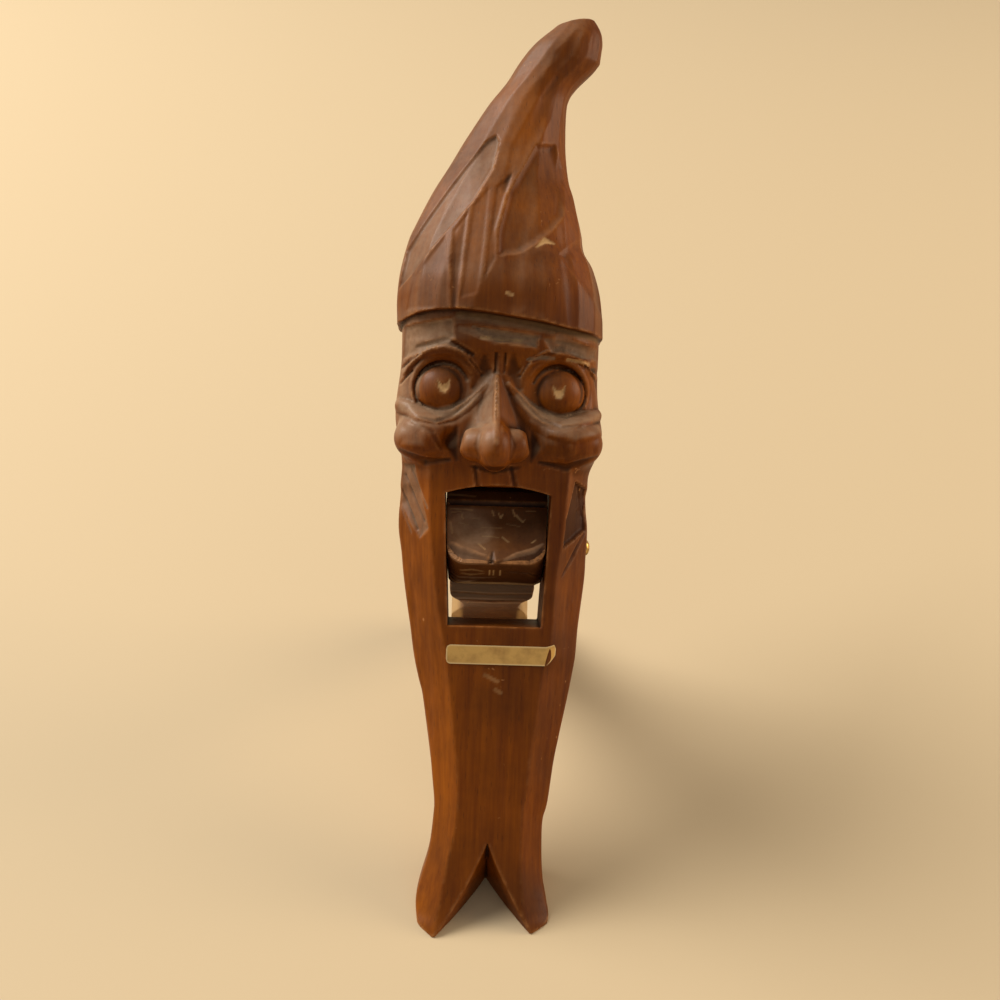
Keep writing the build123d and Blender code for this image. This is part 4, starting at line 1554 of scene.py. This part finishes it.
    @staticmethod
    def face_facets() -> tuple[Shaving, ...]:
        """Flat cuts on forehead, cheeks and nose, whose pale marks are painted sheen.

        Returns:
            The facets, in the order in which they are taken off.
        """
        return (
            # Pale marks on these facets: painted sheen
            Shaving(((-25.0, 157.6), (-12.6, 159.6), (-12.0, 154.4), (-19.0, 151.4), (-25.4, 149.6)),
                    0.7, 1.0, pale=0.9),
            Shaving(((-9.0, 157.8), (8.6, 155.4), (8.4, 152.6), (-1.0, 153.8)), 0.9, 0.8, pale=1.0),
            Shaving(((9.4, 155.4), (24.6, 153.6), (24.8, 150.4), (12.0, 151.6)), 0.5, 0.9, pale=0.5),
            Shaving(((-25.4, 133.4), (-19.0, 132.4), (-18.6, 127.2), (-25.2, 127.8)), 0.4, 2.4, pale=0.5),
            Shaving(((11.6, 131.6), (18.0, 129.8), (17.6, 125.4), (11.4, 126.0)), 0.4, 2.4, dark=0.3),
            Shaving(((19.0, 130.4), (25.0, 131.4), (24.6, 126.4), (18.8, 126.0)), 0.4, 2.4),
            Shaving(((-1.6, 143.6), (-6.0, 138.6), (-6.2, 133.4), (-1.8, 133.0)), 0.35, 1.0, pale=0.6),
        )

    @staticmethod
    def frame_facets() -> tuple[Shaving, ...]:
        """Flat cuts beside the mouth.

        Returns:
            The facets, in the order in which they are taken off.
        """
        return (
            Shaving(((-25.0, 123.5), (-21.3, 123.0), (-17.2, 106.8), (-19.5, 104.0), (-25.4, 113.0)),
                    0.9, 1.5, pale=0.5, dark=0.3),
            Shaving(((19.6, 120.0), (23.2, 118.0), (23.2, 107.5), (16.9, 102.6), (17.4, 110.0)),
                    1.0, 0.6, dark=0.85),
        )

    @staticmethod
    def frame_lines() -> tuple[Stroke, ...]:
        """Knife lines beside the mouth and nicks on the legs.

        Returns:
            The strokes, in the order in which they are cut.
        """
        return (
            Stroke(((-23.8, 120.5, 0.3), (-18.4, 108.5, 0.3)), 0.35, dark=0.6),
            Stroke(((-22.0, 121.5, 0.27), (-17.8, 112.0, 0.27)), 0.3, pale=0.6),
            Stroke(((-24.6, 116.5, 0.3), (-20.0, 106.5, 0.3)), 0.35, dark=0.6),
            Stroke(((-25.0, 112.5, 0.27), (-21.8, 105.5, 0.27)), 0.3, pale=0.4),
            Stroke(((23.2, 107.6, 0.21), (19.8, 101.0, 0.6), (16.9, 95.6, 0.21)), 0.5, dark=0.5),
            Stroke(((20.4, 118.4, 0.36), (21.6, 111.0, 0.36)), 0.3, dark=0.5),
            Stroke(((-2.0, 70.4, 0.6), (1.2, 68.9, 0.6)), 0.06, raw=0.22),
            Stroke(((0.8, 66.8, 0.6), (2.2, 66.0, 0.6)), 0.06, raw=0.2),
        )


@dataclass
class JawLever:
    """The lever: lower jaw in front of the nail, handle behind the legs. Carved shut, about the nail."""

    stance: Stance
    step: float
    block_low: Point = (-14.5, -15.5, -81.5)
    block_high: Point = (14.5, 31.5, 14.0)
    side_view: Table = (
        (-13.2, 11.0), (9.1, 11.0), (12.1, 9.1), (14.2, 6.5), (15.6, 1.8), (17.5, -6.0),
        (18.9, -13.0), (20.2, -22.0), (20.9, -33.0), (21.9, -41.0), (24.4, -49.0), (27.3, -57.5),
        (29.0, -66.0), (28.6, -70.8), (26.7, -76.0), (25.2, -78.0), (22.1, -79.0), (19.9, -78.0),
        (18.7, -76.0), (19.6, -71.0), (19.7, -66.0), (16.4, -57.0), (12.6, -49.0), (10.2, -41.0),
        (9.3, -33.0), (8.8, -25.0), (8.7, -18.4), (-4.0, -6.5), (-12.4, 0.0))
    half_width: Table = (
        (-84.0, 8.2), (-79.0, 8.6), (-73.0, 10.9), (-67.0, 11.7), (-61.0, 10.8), (-56.0, 9.1), (-50.5, 8.2),
        (-45.5, 9.0), (-41.5, 11.2), (-38.0, 12.0), (-27.0, 12.0), (-21.5, 11.5), (-15.0, 11.6),
        (-9.0, 11.85), (0.0, 12.15), (5.0, 12.6), (7.5, 13.05), (20.0, 13.05))
    lip: float = -13.2
    lip_half_width: float = 12.3
    plate_end: float = 5.0
    plate_half_width: float = 13.05
    corner: float = 5.2
    bore_radius: float = 1.36

    def build(self, material: bpy.types.Material) -> bpy.types.Object:
        """Carves the lever and dresses it.

        Args:
            material: Its wood.

        Returns:
            The piece, with its material.
        """
        grid = CarvingGrid(self.block_low, self.block_high, self.step)
        carved = CarvedMesh(*grid.carve(self.form))
        carved.cut(self.plate_cuts() + self.plate_scuffs() + self.chin_cuts() + self.handle_cuts())
        carved.gouge_at_random(seed=21, count=40, where=self.may_gouge,
                               length=8.0, half_width=2.4, depth=0.25)
        carved.read_wear()
        self.paint_light_and_wear(carved)
        carved.vertices = self.stance.open_lever(carved.vertices)
        piece = mesh_object("lever_carving", carved, self.stance, CRISP_WOOD)
        piece.data.materials.append(material)
        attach(piece, "lever")
        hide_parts("jaw_lever")
        return piece

    @staticmethod
    def paint_light_and_wear(carved: CarvedMesh) -> None:
        """Leaves the tail bare, paints shade under the chin, on the heel inside the window and on the shaded
        handle, and rubs the jaw's face pale, with painted sheen that grows towards the side of the window
        light.

        Args:
            carved: The carved lever.
        """
        x, y, z = carved.vertices.T
        sides = np.clip((-53.0 - z) / 6.0, 0.0, 1.0) * np.clip((np.abs(x) - 7.9) / 1.2, 0.0, 1.0)
        carved.note("bare", np.maximum(0.9 * sides, np.clip((-66.0 - z) / 9.0, 0.0, 1.0)))
        # Painted shade under the chin
        under = (y < 8.0) & (z < 6.0)
        carved.note("dark", 0.5 * under * np.clip((6.0 - z) / 9.0, 0.0, 1.0))
        # Painted shade on the heel, inside the window
        carved.note("dark", 0.6 * ((y > 5.4) & (z > 5.0)))
        # Pale wear rubbed on the jaw's face, with painted sheen stronger towards the window side
        worn = (z > 9.4) * np.clip((4.5 - y) / 1.5, 0.0, 1.0) * np.clip((2.0 - x) / 9.0, 0.12, 1.0)
        carved.note("pale", 0.6 * worn)
        # Painted shade on the handle's front, below the chin
        shaded = (y < 14.0) * np.clip((z + 45.0) / 5.0, 0.0, 1.0) * np.clip((-8.0 - z) / 4.0, 0.0, 1.0)
        carved.note("dark", 0.9 * shaded)

    def form(self, x: Array, y: Array, z: Array) -> Array:
        """Distance to the lever before the knife's fine work.

        Args:
            x: Places across, mm.
            y: Places from front to back, from the pin, mm.
            z: Heights over the pin, on the shut lever, mm.

        Returns:
            Distance to its surface, below zero inside, mm.
        """
        shape = common(inside_outline(y, z, self.side_view), np.abs(x) - along(z, self.half_width), 0.5)
        half = np.interp(y, (self.lip, self.plate_end), (self.lip_half_width, self.plate_half_width))
        out, ahead = np.abs(x) - half + self.corner, self.lip + self.corner - y
        outer = np.hypot(np.maximum(out, 0.0), np.maximum(ahead, 0.0))
        plan = np.minimum(np.maximum(out, ahead), 0.0) + outer - self.corner
        shape = common(shape, np.where(y > self.plate_end, -9.0, plan), 0.3)
        bore = np.sqrt(y ** 2 + z ** 2) - self.bore_radius + 0.0 * x
        return common(pared(shape, bore, 0.1), self.stance.lever_floor_depth(y, z), 0.25)

    @staticmethod
    def may_gouge(points: Array, normals: Array) -> Array:
        """Sides and back of the handle, away from the soles and the jaw."""
        return (points[:, 2] < -6.0) & (points[:, 2] > -70.0) & (points[:, 1] > 10.0)

    @staticmethod
    def plate_cuts() -> tuple[Stroke, ...]:
        """Groove across the jaw, its dished face, the two scoops that meet at the lip, and two low rolls
        whose pale marks are a painted highlight along the dish's rim.

        Returns:
            The strokes, in the order in which they are cut.
        """
        top = Aspect.TOP
        return (
            Stroke(((-14.0, 5.2, 0.75), (14.0, 5.2, 0.75)), 0.9, dark=0.9, aspect=top),
            Stroke(((-5.0, -2.5, 7.0), (5.0, -2.5, 7.0)), 0.8, soft=True, aspect=top),
            Stroke(((-16.0, -9.4, 2.4), (-11.8, -11.2, 3.6), (-6.4, -13.6, 3.7), (-2.6, -15.4, 3.4)), 1.7,
                   aspect=top),
            Stroke(((16.0, -9.8, 2.4), (11.4, -11.4, 3.4), (6.6, -13.6, 3.7), (1.6, -15.6, 3.2)), 1.7,
                   aspect=top),
            Stroke(((-1.4, -14.5, 1.2), (-1.0, -10.0, 0.4)), 0.9, dark=0.8, aspect=top),
            # Two low rolls along the dish's rim; their pale marks are a painted highlight
            Stroke(((-12.4, -6.6, 0.5), (-8.2, -9.4, 0.9), (-2.8, -11.0, 0.5)), -0.25, pale=0.7,
                   aspect=top),
            Stroke(((11.6, -7.2, 0.5), (9.4, -8.9, 0.8), (4.8, -10.6, 0.7), (2.0, -12.2, 0.4)), -0.2,
                   pale=0.7, aspect=top),
        )

    @staticmethod
    def plate_scuffs() -> tuple[Stroke, ...]:
        """Scuffs and nicks that nuts have left, and a pale patch of rubbed wear and painted sheen.

        Returns:
            The strokes, in the order in which they are cut.
        """
        top = Aspect.TOP
        nicks = (
            ((-12.0, 3.2, 0.25), (-6.4, 3.0, 0.25), 0.6), ((-11.6, 2.2, 0.2), (-9.4, 2.4, 0.2), 0.5),
            ((-9.0, 1.6, 0.25), (-8.7, 0.4, 0.2), 0.7), ((-1.2, 3.0, 0.3), (-0.8, 1.8, 0.3), 0.7),
            ((0.4, 2.4, 0.2), (1.0, 1.2, 0.3), 0.9), ((1.0, 1.2, 0.3), (1.5, 2.2, 0.2), 0.9),
            ((4.0, 3.6, 0.25), (4.6, 1.8, 0.3), 0.7), ((5.0, 2.0, 0.3), (6.6, 0.2, 0.35), 0.9),
            ((6.6, 0.2, 0.3), (7.2, 0.8, 0.2), 0.8), ((7.6, 3.2, 0.2), (10.0, 3.0, 0.2), 0.5),
            ((-4.0, -2.0, 0.25), (1.2, -1.8, 0.2), 0.35), ((-3.6, -4.6, 0.25), (0.4, -4.8, 0.2), 0.35),
            ((1.4, -4.8, 0.3), (3.0, -6.4, 0.25), 0.7), ((-4.6, -7.2, 0.3), (-2.8, -9.2, 0.25), 0.6),
            ((-11.8, -1.0, 0.3), (-11.2, -4.4, 0.3), 0.4), ((9.0, -6.6, 0.25), (9.8, -5.8, 0.25), 0.7),
            ((-9.6, -0.8, 0.25), (-7.4, -1.2, 0.2), 0.3), ((-6.4, 0.8, 0.2), (-4.4, 0.6, 0.2), 0.3),
            ((2.6, -0.6, 0.2), (5.8, -1.2, 0.2), 0.3), ((-12.4, 7.8, 0.5), (-5.6, 7.4, 0.3), 0.35),
        )
        # Broad pale patch on the plate's window side: rubbed wear and painted sheen
        rubbed = Stroke(((-8.0, -1.5, 6.0), (-6.0, -3.0, 6.5)), 0.0, pale=0.8, soft=True, aspect=top)
        return (rubbed,) + tuple(
            Stroke((start, end), 0.14, raw=0.6 * raw, aspect=top) for start, end, raw in nicks)

    @staticmethod
    def chin_cuts() -> tuple[Stroke, ...]:
        """Scuffs, nicks and hollow cuts on the chin.

        Returns:
            The strokes, in the order in which they are cut.
        """
        return (
            Stroke(((-8.8, 6.6, 0.35), (-6.0, 7.2, 0.5), (-3.2, 6.4, 0.35)), 0.15, raw=0.28),
            Stroke(((-8.4, 5.2, 0.4), (-6.4, 4.6, 0.5), (-3.0, 5.4, 0.3)), 0.15, raw=0.25),
            Stroke(((-1.7, 7.2, 0.2), (-1.6, 4.6, 0.2)), 0.2, raw=0.7),
            Stroke(((-0.7, 7.2, 0.2), (-0.6, 4.8, 0.2)), 0.2, raw=0.6),
            Stroke(((1.1, 7.0, 0.2), (1.2, 4.8, 0.2)), 0.2, raw=0.7),
            Stroke(((-11.2, 3.4, 0.3), (-5.6, 3.0, 0.5), (0.0, 3.6, 0.2)), 0.2, pale=0.5),
            Stroke(((-11.0, 1.8, 0.4), (-7.0, 1.2, 0.6), (-4.0, 2.2, 0.2)), 0.25, pale=0.5),
            Stroke(((2.0, 6.6, 0.2), (8.4, 6.0, 0.3), (11.6, 3.0, 0.2)), 0.25, dark=0.4),
            Stroke(((-11.6, 0.5, 0.5), (-5.0, 0.5, 0.7), (3.0, 0.7, 0.7), (11.4, 0.3, 0.5)), -0.15, raw=0.5),
        )

    @staticmethod
    def handle_cuts() -> tuple[Stroke, ...]:
        """Cuts across the front of the handle, where the shoulders end.

        Returns:
            The strokes, in the order in which they are cut.
        """
        return (
            Stroke(((-9.0, -43.0, 0.5), (0.0, -43.8, 0.9), (9.5, -42.8, 0.5)), 0.5, dark=0.9),
            Stroke(((-8.6, -45.0, 0.5), (0.0, -45.4, 0.6), (8.6, -44.6, 0.5)), -0.2, pale=0.7),
            Stroke(((-11.0, -37.5, 0.5), (0.0, -38.4, 0.7), (11.0, -37.6, 0.5)), 0.3, pale=0.4),
        )


@dataclass
class NailPin:
    """Brass nail across the window, its domed head proud of the cheek."""

    stance: Stance
    blind_end: float = -19.7
    seat: float = 23.0
    shank_radius: float = 1.27
    head_radius: float = 2.15
    rim: float = 0.35
    dome: float = 1.3
    dome_steps: int = 8
    sides: int = 48
    crisp: float = 35.0

    def build(self, material: bpy.types.Material) -> bpy.types.Object:
        """Turns the nail and dresses it.

        Args:
            material: Its brass.

        Returns:
            The piece, with its material.
        """
        profile = [(self.blind_end, 0.0), (self.blind_end + 0.6, self.shank_radius - 0.2),
                   (self.blind_end + 1.2, self.shank_radius), (self.seat, self.shank_radius),
                   (self.seat, self.head_radius - 0.15), (self.seat + 0.12, self.head_radius)]
        for index in range(self.dome_steps + 1):
            angle = 0.5 * pi * index / self.dome_steps
            profile.append((self.seat + self.rim + self.dome * sin(angle), self.head_radius * cos(angle)))
        vertices, faces = [], []
        for along_x, radius in profile:
            for side in range(self.sides):
                angle = 2 * pi * side / self.sides
                vertices.append((along_x, radius * cos(angle), self.stance.pin_height + radius * sin(angle)))
        for ring in range(len(profile) - 1):
            for side in range(self.sides):
                after = (side + 1) % self.sides
                low, high = ring * self.sides, (ring + 1) * self.sides
                faces.append((low + side, low + after, high + after, high + side))
        carved = CarvedMesh(np.array(vertices), np.array(faces))
        piece = mesh_object("nail", carved, self.stance, self.crisp)
        weld(piece)
        piece.data.materials.append(material)
        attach(piece, "gnome")
        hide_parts("pivot_pin")
        return piece


@dataclass
class PaperLabel:
    """Blank gold paper strip with round corners; one end has come loose round the chamfer."""

    stance: Stance
    left: float = -11.9
    low: float = 73.1
    high: float = 77.9
    front: float = -14.56
    thickness: float = 0.16
    corner: float = 1.2
    bend: float = 13.3
    end: float = 16.2
    fold: float = 31.0
    rim: float = 0.42
    rows_across: int = 17
    near_edges: tuple[float, ...] = (0.03, 0.085, 0.915, 0.97)
    crisp: float = 50.0

    def build(self, material: bpy.types.Material) -> bpy.types.Object:
        """Cuts and bends the strip and dresses it.

        Args:
            material: Its gold paper.

        Returns:
            The piece, with its material.
        """
        steps = np.concatenate([np.linspace(self.left, self.left + self.corner, 9)[:-1],
                                np.linspace(self.left + self.corner, self.bend, 60)[:-1],
                                np.linspace(self.bend, self.end, 22)])
        share = np.sort(np.concatenate([np.linspace(0.0, 1.0, self.rows_across), self.near_edges]))
        rows, rims = [], []
        for run in steps:
            low, high = self._edges(run)
            height = low + share * (high - low)
            x, y = self._bent(run, height)
            rows.append(np.column_stack((x, y, height)))
            inner = np.minimum(np.minimum(height - low, high - height),
                               np.minimum(run - self.left, self.end - run))
            rims.append(np.clip(1.6 - 1.6 * inner / self.rim, 0.0, 1.0))
        face, rim = np.concatenate(rows), np.concatenate(rims)
        back = face + (0.0, self.thickness, 0.0)
        carved = CarvedMesh(np.concatenate((face, back)), self._faces(len(steps), len(share)))
        carved.marks["rim"] = np.concatenate((rim, rim))
        piece = mesh_object("label", carved, self.stance, self.crisp)
        weld(piece)
        piece.data.materials.append(material)
        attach(piece, "gnome")
        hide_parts("paper_label")
        return piece

    def _edges(self, run: float) -> tuple[float, float]:
        """Lower and upper edge at a distance along the strip.

        Args:
            run: Distance along the strip, mm.

        Returns:
            Heights of the two edges, mm.
        """
        left = max(self.corner - (run - self.left), 0.0)
        cut = self.corner - (max(self.corner ** 2 - left ** 2, 0.0)) ** 0.5
        loose = max(run - self.bend, 0.0) / (self.end - self.bend)
        low = self.low + cut + 2.6 * loose ** 1.5
        high = self.high - cut + 0.7 * loose - 1.2 * max(loose - 0.8, 0.0) / 0.2
        return low, high

    def _bent(self, run: float, height: Array) -> tuple[Array, Array]:
        """Side and depth of the strip: flat, then folded back, the fold leaning to the lower edge.

        Args:
            run: Distances along the strip, mm.
            height: Heights on the strip, mm.

        Returns:
            Place across and depth of each point, mm.
        """
        fold_line = self.bend - 1.0 + 1.2 * (height - self.low) / (self.high - self.low)
        past = np.maximum(run - fold_line, 0.0)
        angle = radians(self.fold)
        lift = 0.25 * np.sin(np.clip(past / 3.0, 0.0, 1.0) * pi)
        return run - past * (1.0 - cos(angle)), self.front - self.thickness + past * sin(angle) - lift

    @staticmethod
    def _faces(columns: int, rows: int) -> Array:
        """Faces of front, back and the four edges.

        Args:
            columns: Points along the strip.
            rows: Points across it.

        Returns:
            Four point numbers for each face.
        """
        faces = []
        total = columns * rows
        for column in range(columns - 1):
            for row in range(rows - 1):
                a = column * rows + row
                b, c, d = a + rows, a + rows + 1, a + 1
                faces.append((a, b, c, d))
                faces.append((total + a, total + d, total + c, total + b))
            for row, turned in ((0, False), (rows - 1, True)):
                a, b = column * rows + row, (column + 1) * rows + row
                quad = (a, total + a, total + b, b)
                faces.append(quad[::-1] if turned else quad)
        for column, turned in ((0, True), (columns - 1, False)):
            for row in range(rows - 1):
                a = column * rows + row
                quad = (a, total + a, total + a + 1, a + 1)
                faces.append(quad[::-1] if turned else quad)
        return np.array(faces)


def weld(piece: bpy.types.Object) -> None:
    """Joins vertices that lie in one place and drops faces that have shrunk to nothing.

    Args:
        piece: The piece.
    """
    work = bmesh.new()
    work.from_mesh(piece.data)
    bmesh.ops.remove_doubles(work, verts=work.verts, dist=2e-6)
    bmesh.ops.recalc_face_normals(work, faces=work.faces)
    work.to_mesh(piece.data)
    work.free()


@dataclass(frozen=True)
class SoftLamp:
    """Square area lamp: place and size in metres, power in watts."""

    name: str
    place: Point
    size: float
    power: float
    colour: Point

    def build(self, aim: Point) -> None:
        """Adds the lamp, turned to a point.

        Args:
            aim: The point that it faces, in metres.
        """
        data = bpy.data.lights.new(self.name, "AREA")
        data.size, data.energy, data.color = self.size, self.power, self.colour
        lamp = bpy.data.objects.new(self.name, data)
        lamp.location = self.place
        lamp.rotation_euler = (Vector(aim) - Vector(self.place)).to_track_quat("-Z", "Y").to_euler()
        bpy.context.scene.collection.objects.link(lamp)


@dataclass(frozen=True)
class Studio:
    """Plain pale floor and soft lamps."""

    floor_colour: Colour = stain(212, 189, 152)
    floor_tint: Colour = stain(212, 184, 144)
    floor_size: float = 8.0
    aim: Point = (0.0, 0.0, 0.09)
    lamps: tuple[SoftLamp, ...] = (
        SoftLamp("window_lamp", (-1.1, 0.5, 1.1), 0.9, 32.0, (1.0, 0.97, 0.92)),
        SoftLamp("front_lamp", (0.7, -1.2, 0.9), 1.2, 0.9, (1.0, 0.96, 0.9)),
        SoftLamp("side_lamp", (1.2, 0.15, 0.5), 0.7, 10.0, (1.0, 0.84, 0.62)))
    world_colour: Colour = (1.0, 0.97, 0.93, 1.0)
    world_strength: float = 0.26
    seen_strength: float = 0.74
    gloss_share: float = 0.1

    def build(self) -> None:
        """Makes the floor, the lamps and the world."""
        self._floor()
        for lamp in self.lamps:
            lamp.build(self.aim)
        self._world()

    def _floor(self) -> None:
        """One plain sheet under the object."""
        half = self.floor_size / 2
        mesh = bpy.data.meshes.new("floor")
        corners = [(-half, -half, 0), (half, -half, 0), (half, half, 0), (-half, half, 0)]
        mesh.from_pydata(corners, [], [(0, 1, 2, 3)])
        floor = bpy.data.objects.new("floor", mesh)
        bpy.context.scene.collection.objects.link(floor)
        material, nodes, shader = new_material("pale_floor")
        place = nodes.add("ShaderNodeTexCoord").outputs["Object"]
        cloud = nodes.add("ShaderNodeTexNoise", Vector=place, Scale=3.0, Detail=2.0)
        faint = nodes.ramp(cloud.outputs[0], ((0.3, 0.0), (0.7, 0.12)))
        tint = nodes.blend(faint, self.floor_colour, self.floor_tint)
        nodes.feed(shader, "Base Color", tint)
        shader.inputs["Roughness"].default_value = 0.7
        shader.inputs["Specular IOR Level"].default_value = 0.2
        mesh.materials.append(material)

    def _world(self) -> None:
        """Even pale surroundings, white where the camera or a gloss sees them."""
        world = bpy.data.worlds.new("room")
        bpy.context.scene.world = world
        world.use_nodes = True
        nodes = Nodes(world.node_tree)
        background = world.node_tree.nodes["Background"]
        rays = nodes.add("ShaderNodeLightPath")
        seen = nodes.maths("MAXIMUM", rays.outputs["Is Camera Ray"], rays.outputs["Is Transmission Ray"])
        glossy = nodes.maths("MULTIPLY", rays.outputs["Is Glossy Ray"], self.gloss_share)
        seen = nodes.maths("MAXIMUM", seen, glossy)
        lift = nodes.maths("MULTIPLY", seen, self.seen_strength)
        nodes.feed(background, "Strength", nodes.maths("ADD", self.world_strength, lift))
        background.inputs["Color"].default_value = self.world_colour


@dataclass(frozen=True)
class PhotographCamera:
    """Camera where the photograph was taken from."""

    stance: Stance
    aim: Point = (0.8, 0.0, 114.4)
    distance: float = 0.375
    pitch: float = 37.4
    yaw: float = 1.5
    roll: float = 2.65
    lens: float = 51.6
    sensor: float = 36.0

    def build(self) -> None:
        """Adds the camera."""
        aim = Vector(self.stance.place(np.array([self.aim]))[0])
        pitch, yaw = radians(self.pitch), radians(self.yaw)
        back = Vector((-sin(yaw) * cos(pitch), -cos(yaw) * cos(pitch), sin(pitch)))
        data = bpy.data.cameras.new("photograph")
        data.lens, data.sensor_width, data.sensor_fit = self.lens, self.sensor, "HORIZONTAL"
        data.clip_start = 0.01
        camera = bpy.data.objects.new("photograph", data)
        level = (-back).to_track_quat("-Z", "Y").to_matrix().to_4x4()
        turn = level @ Matrix.Rotation(radians(self.roll), 4, "Z")
        camera.matrix_world = Matrix.Translation(aim + back * self.distance) @ turn
        bpy.context.scene.collection.objects.link(camera)
        bpy.context.scene.camera = camera
        bpy.context.scene.view_settings.view_transform = "Standard"


def main() -> None:
    """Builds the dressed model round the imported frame."""
    logging.basicConfig(level=logging.INFO, format="%(message)s")
    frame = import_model()
    hinge = frame["joints"][0]
    stance = Stance(Vector(hinge["pos_m"]), hinge["range_deg"][1])
    step = FULL_STEP
    effects = Effects(stance.lean).build()
    # Lever stain: its deep brown also paints shade, its pale colour paints sheen along with dirt
    lever_wood = StainedWood("lever_wood", deep=stain(32, 14, 5), main=stain(80, 40, 14),
                             light=stain(114, 68, 30), dust_and_sheen=stain(158, 126, 98))
    pieces = (
        CarvedGnome(stance, step).build(StainedWood("stained_wood").build(effects)),
        JawLever(stance, step * LEVER_SHARE).build(lever_wood.build(effects)),
        NailPin(stance).build(TarnishedBrass().build(effects)),
        PaperLabel(stance).build(GoldPaper().build(effects)),
    )
    for piece in pieces:
        LOG.info("%s: %d faces", piece.name, len(piece.data.polygons))
    Studio().build()
    PhotographCamera(stance).build()
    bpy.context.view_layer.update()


if __name__ == "__main__":
    main()
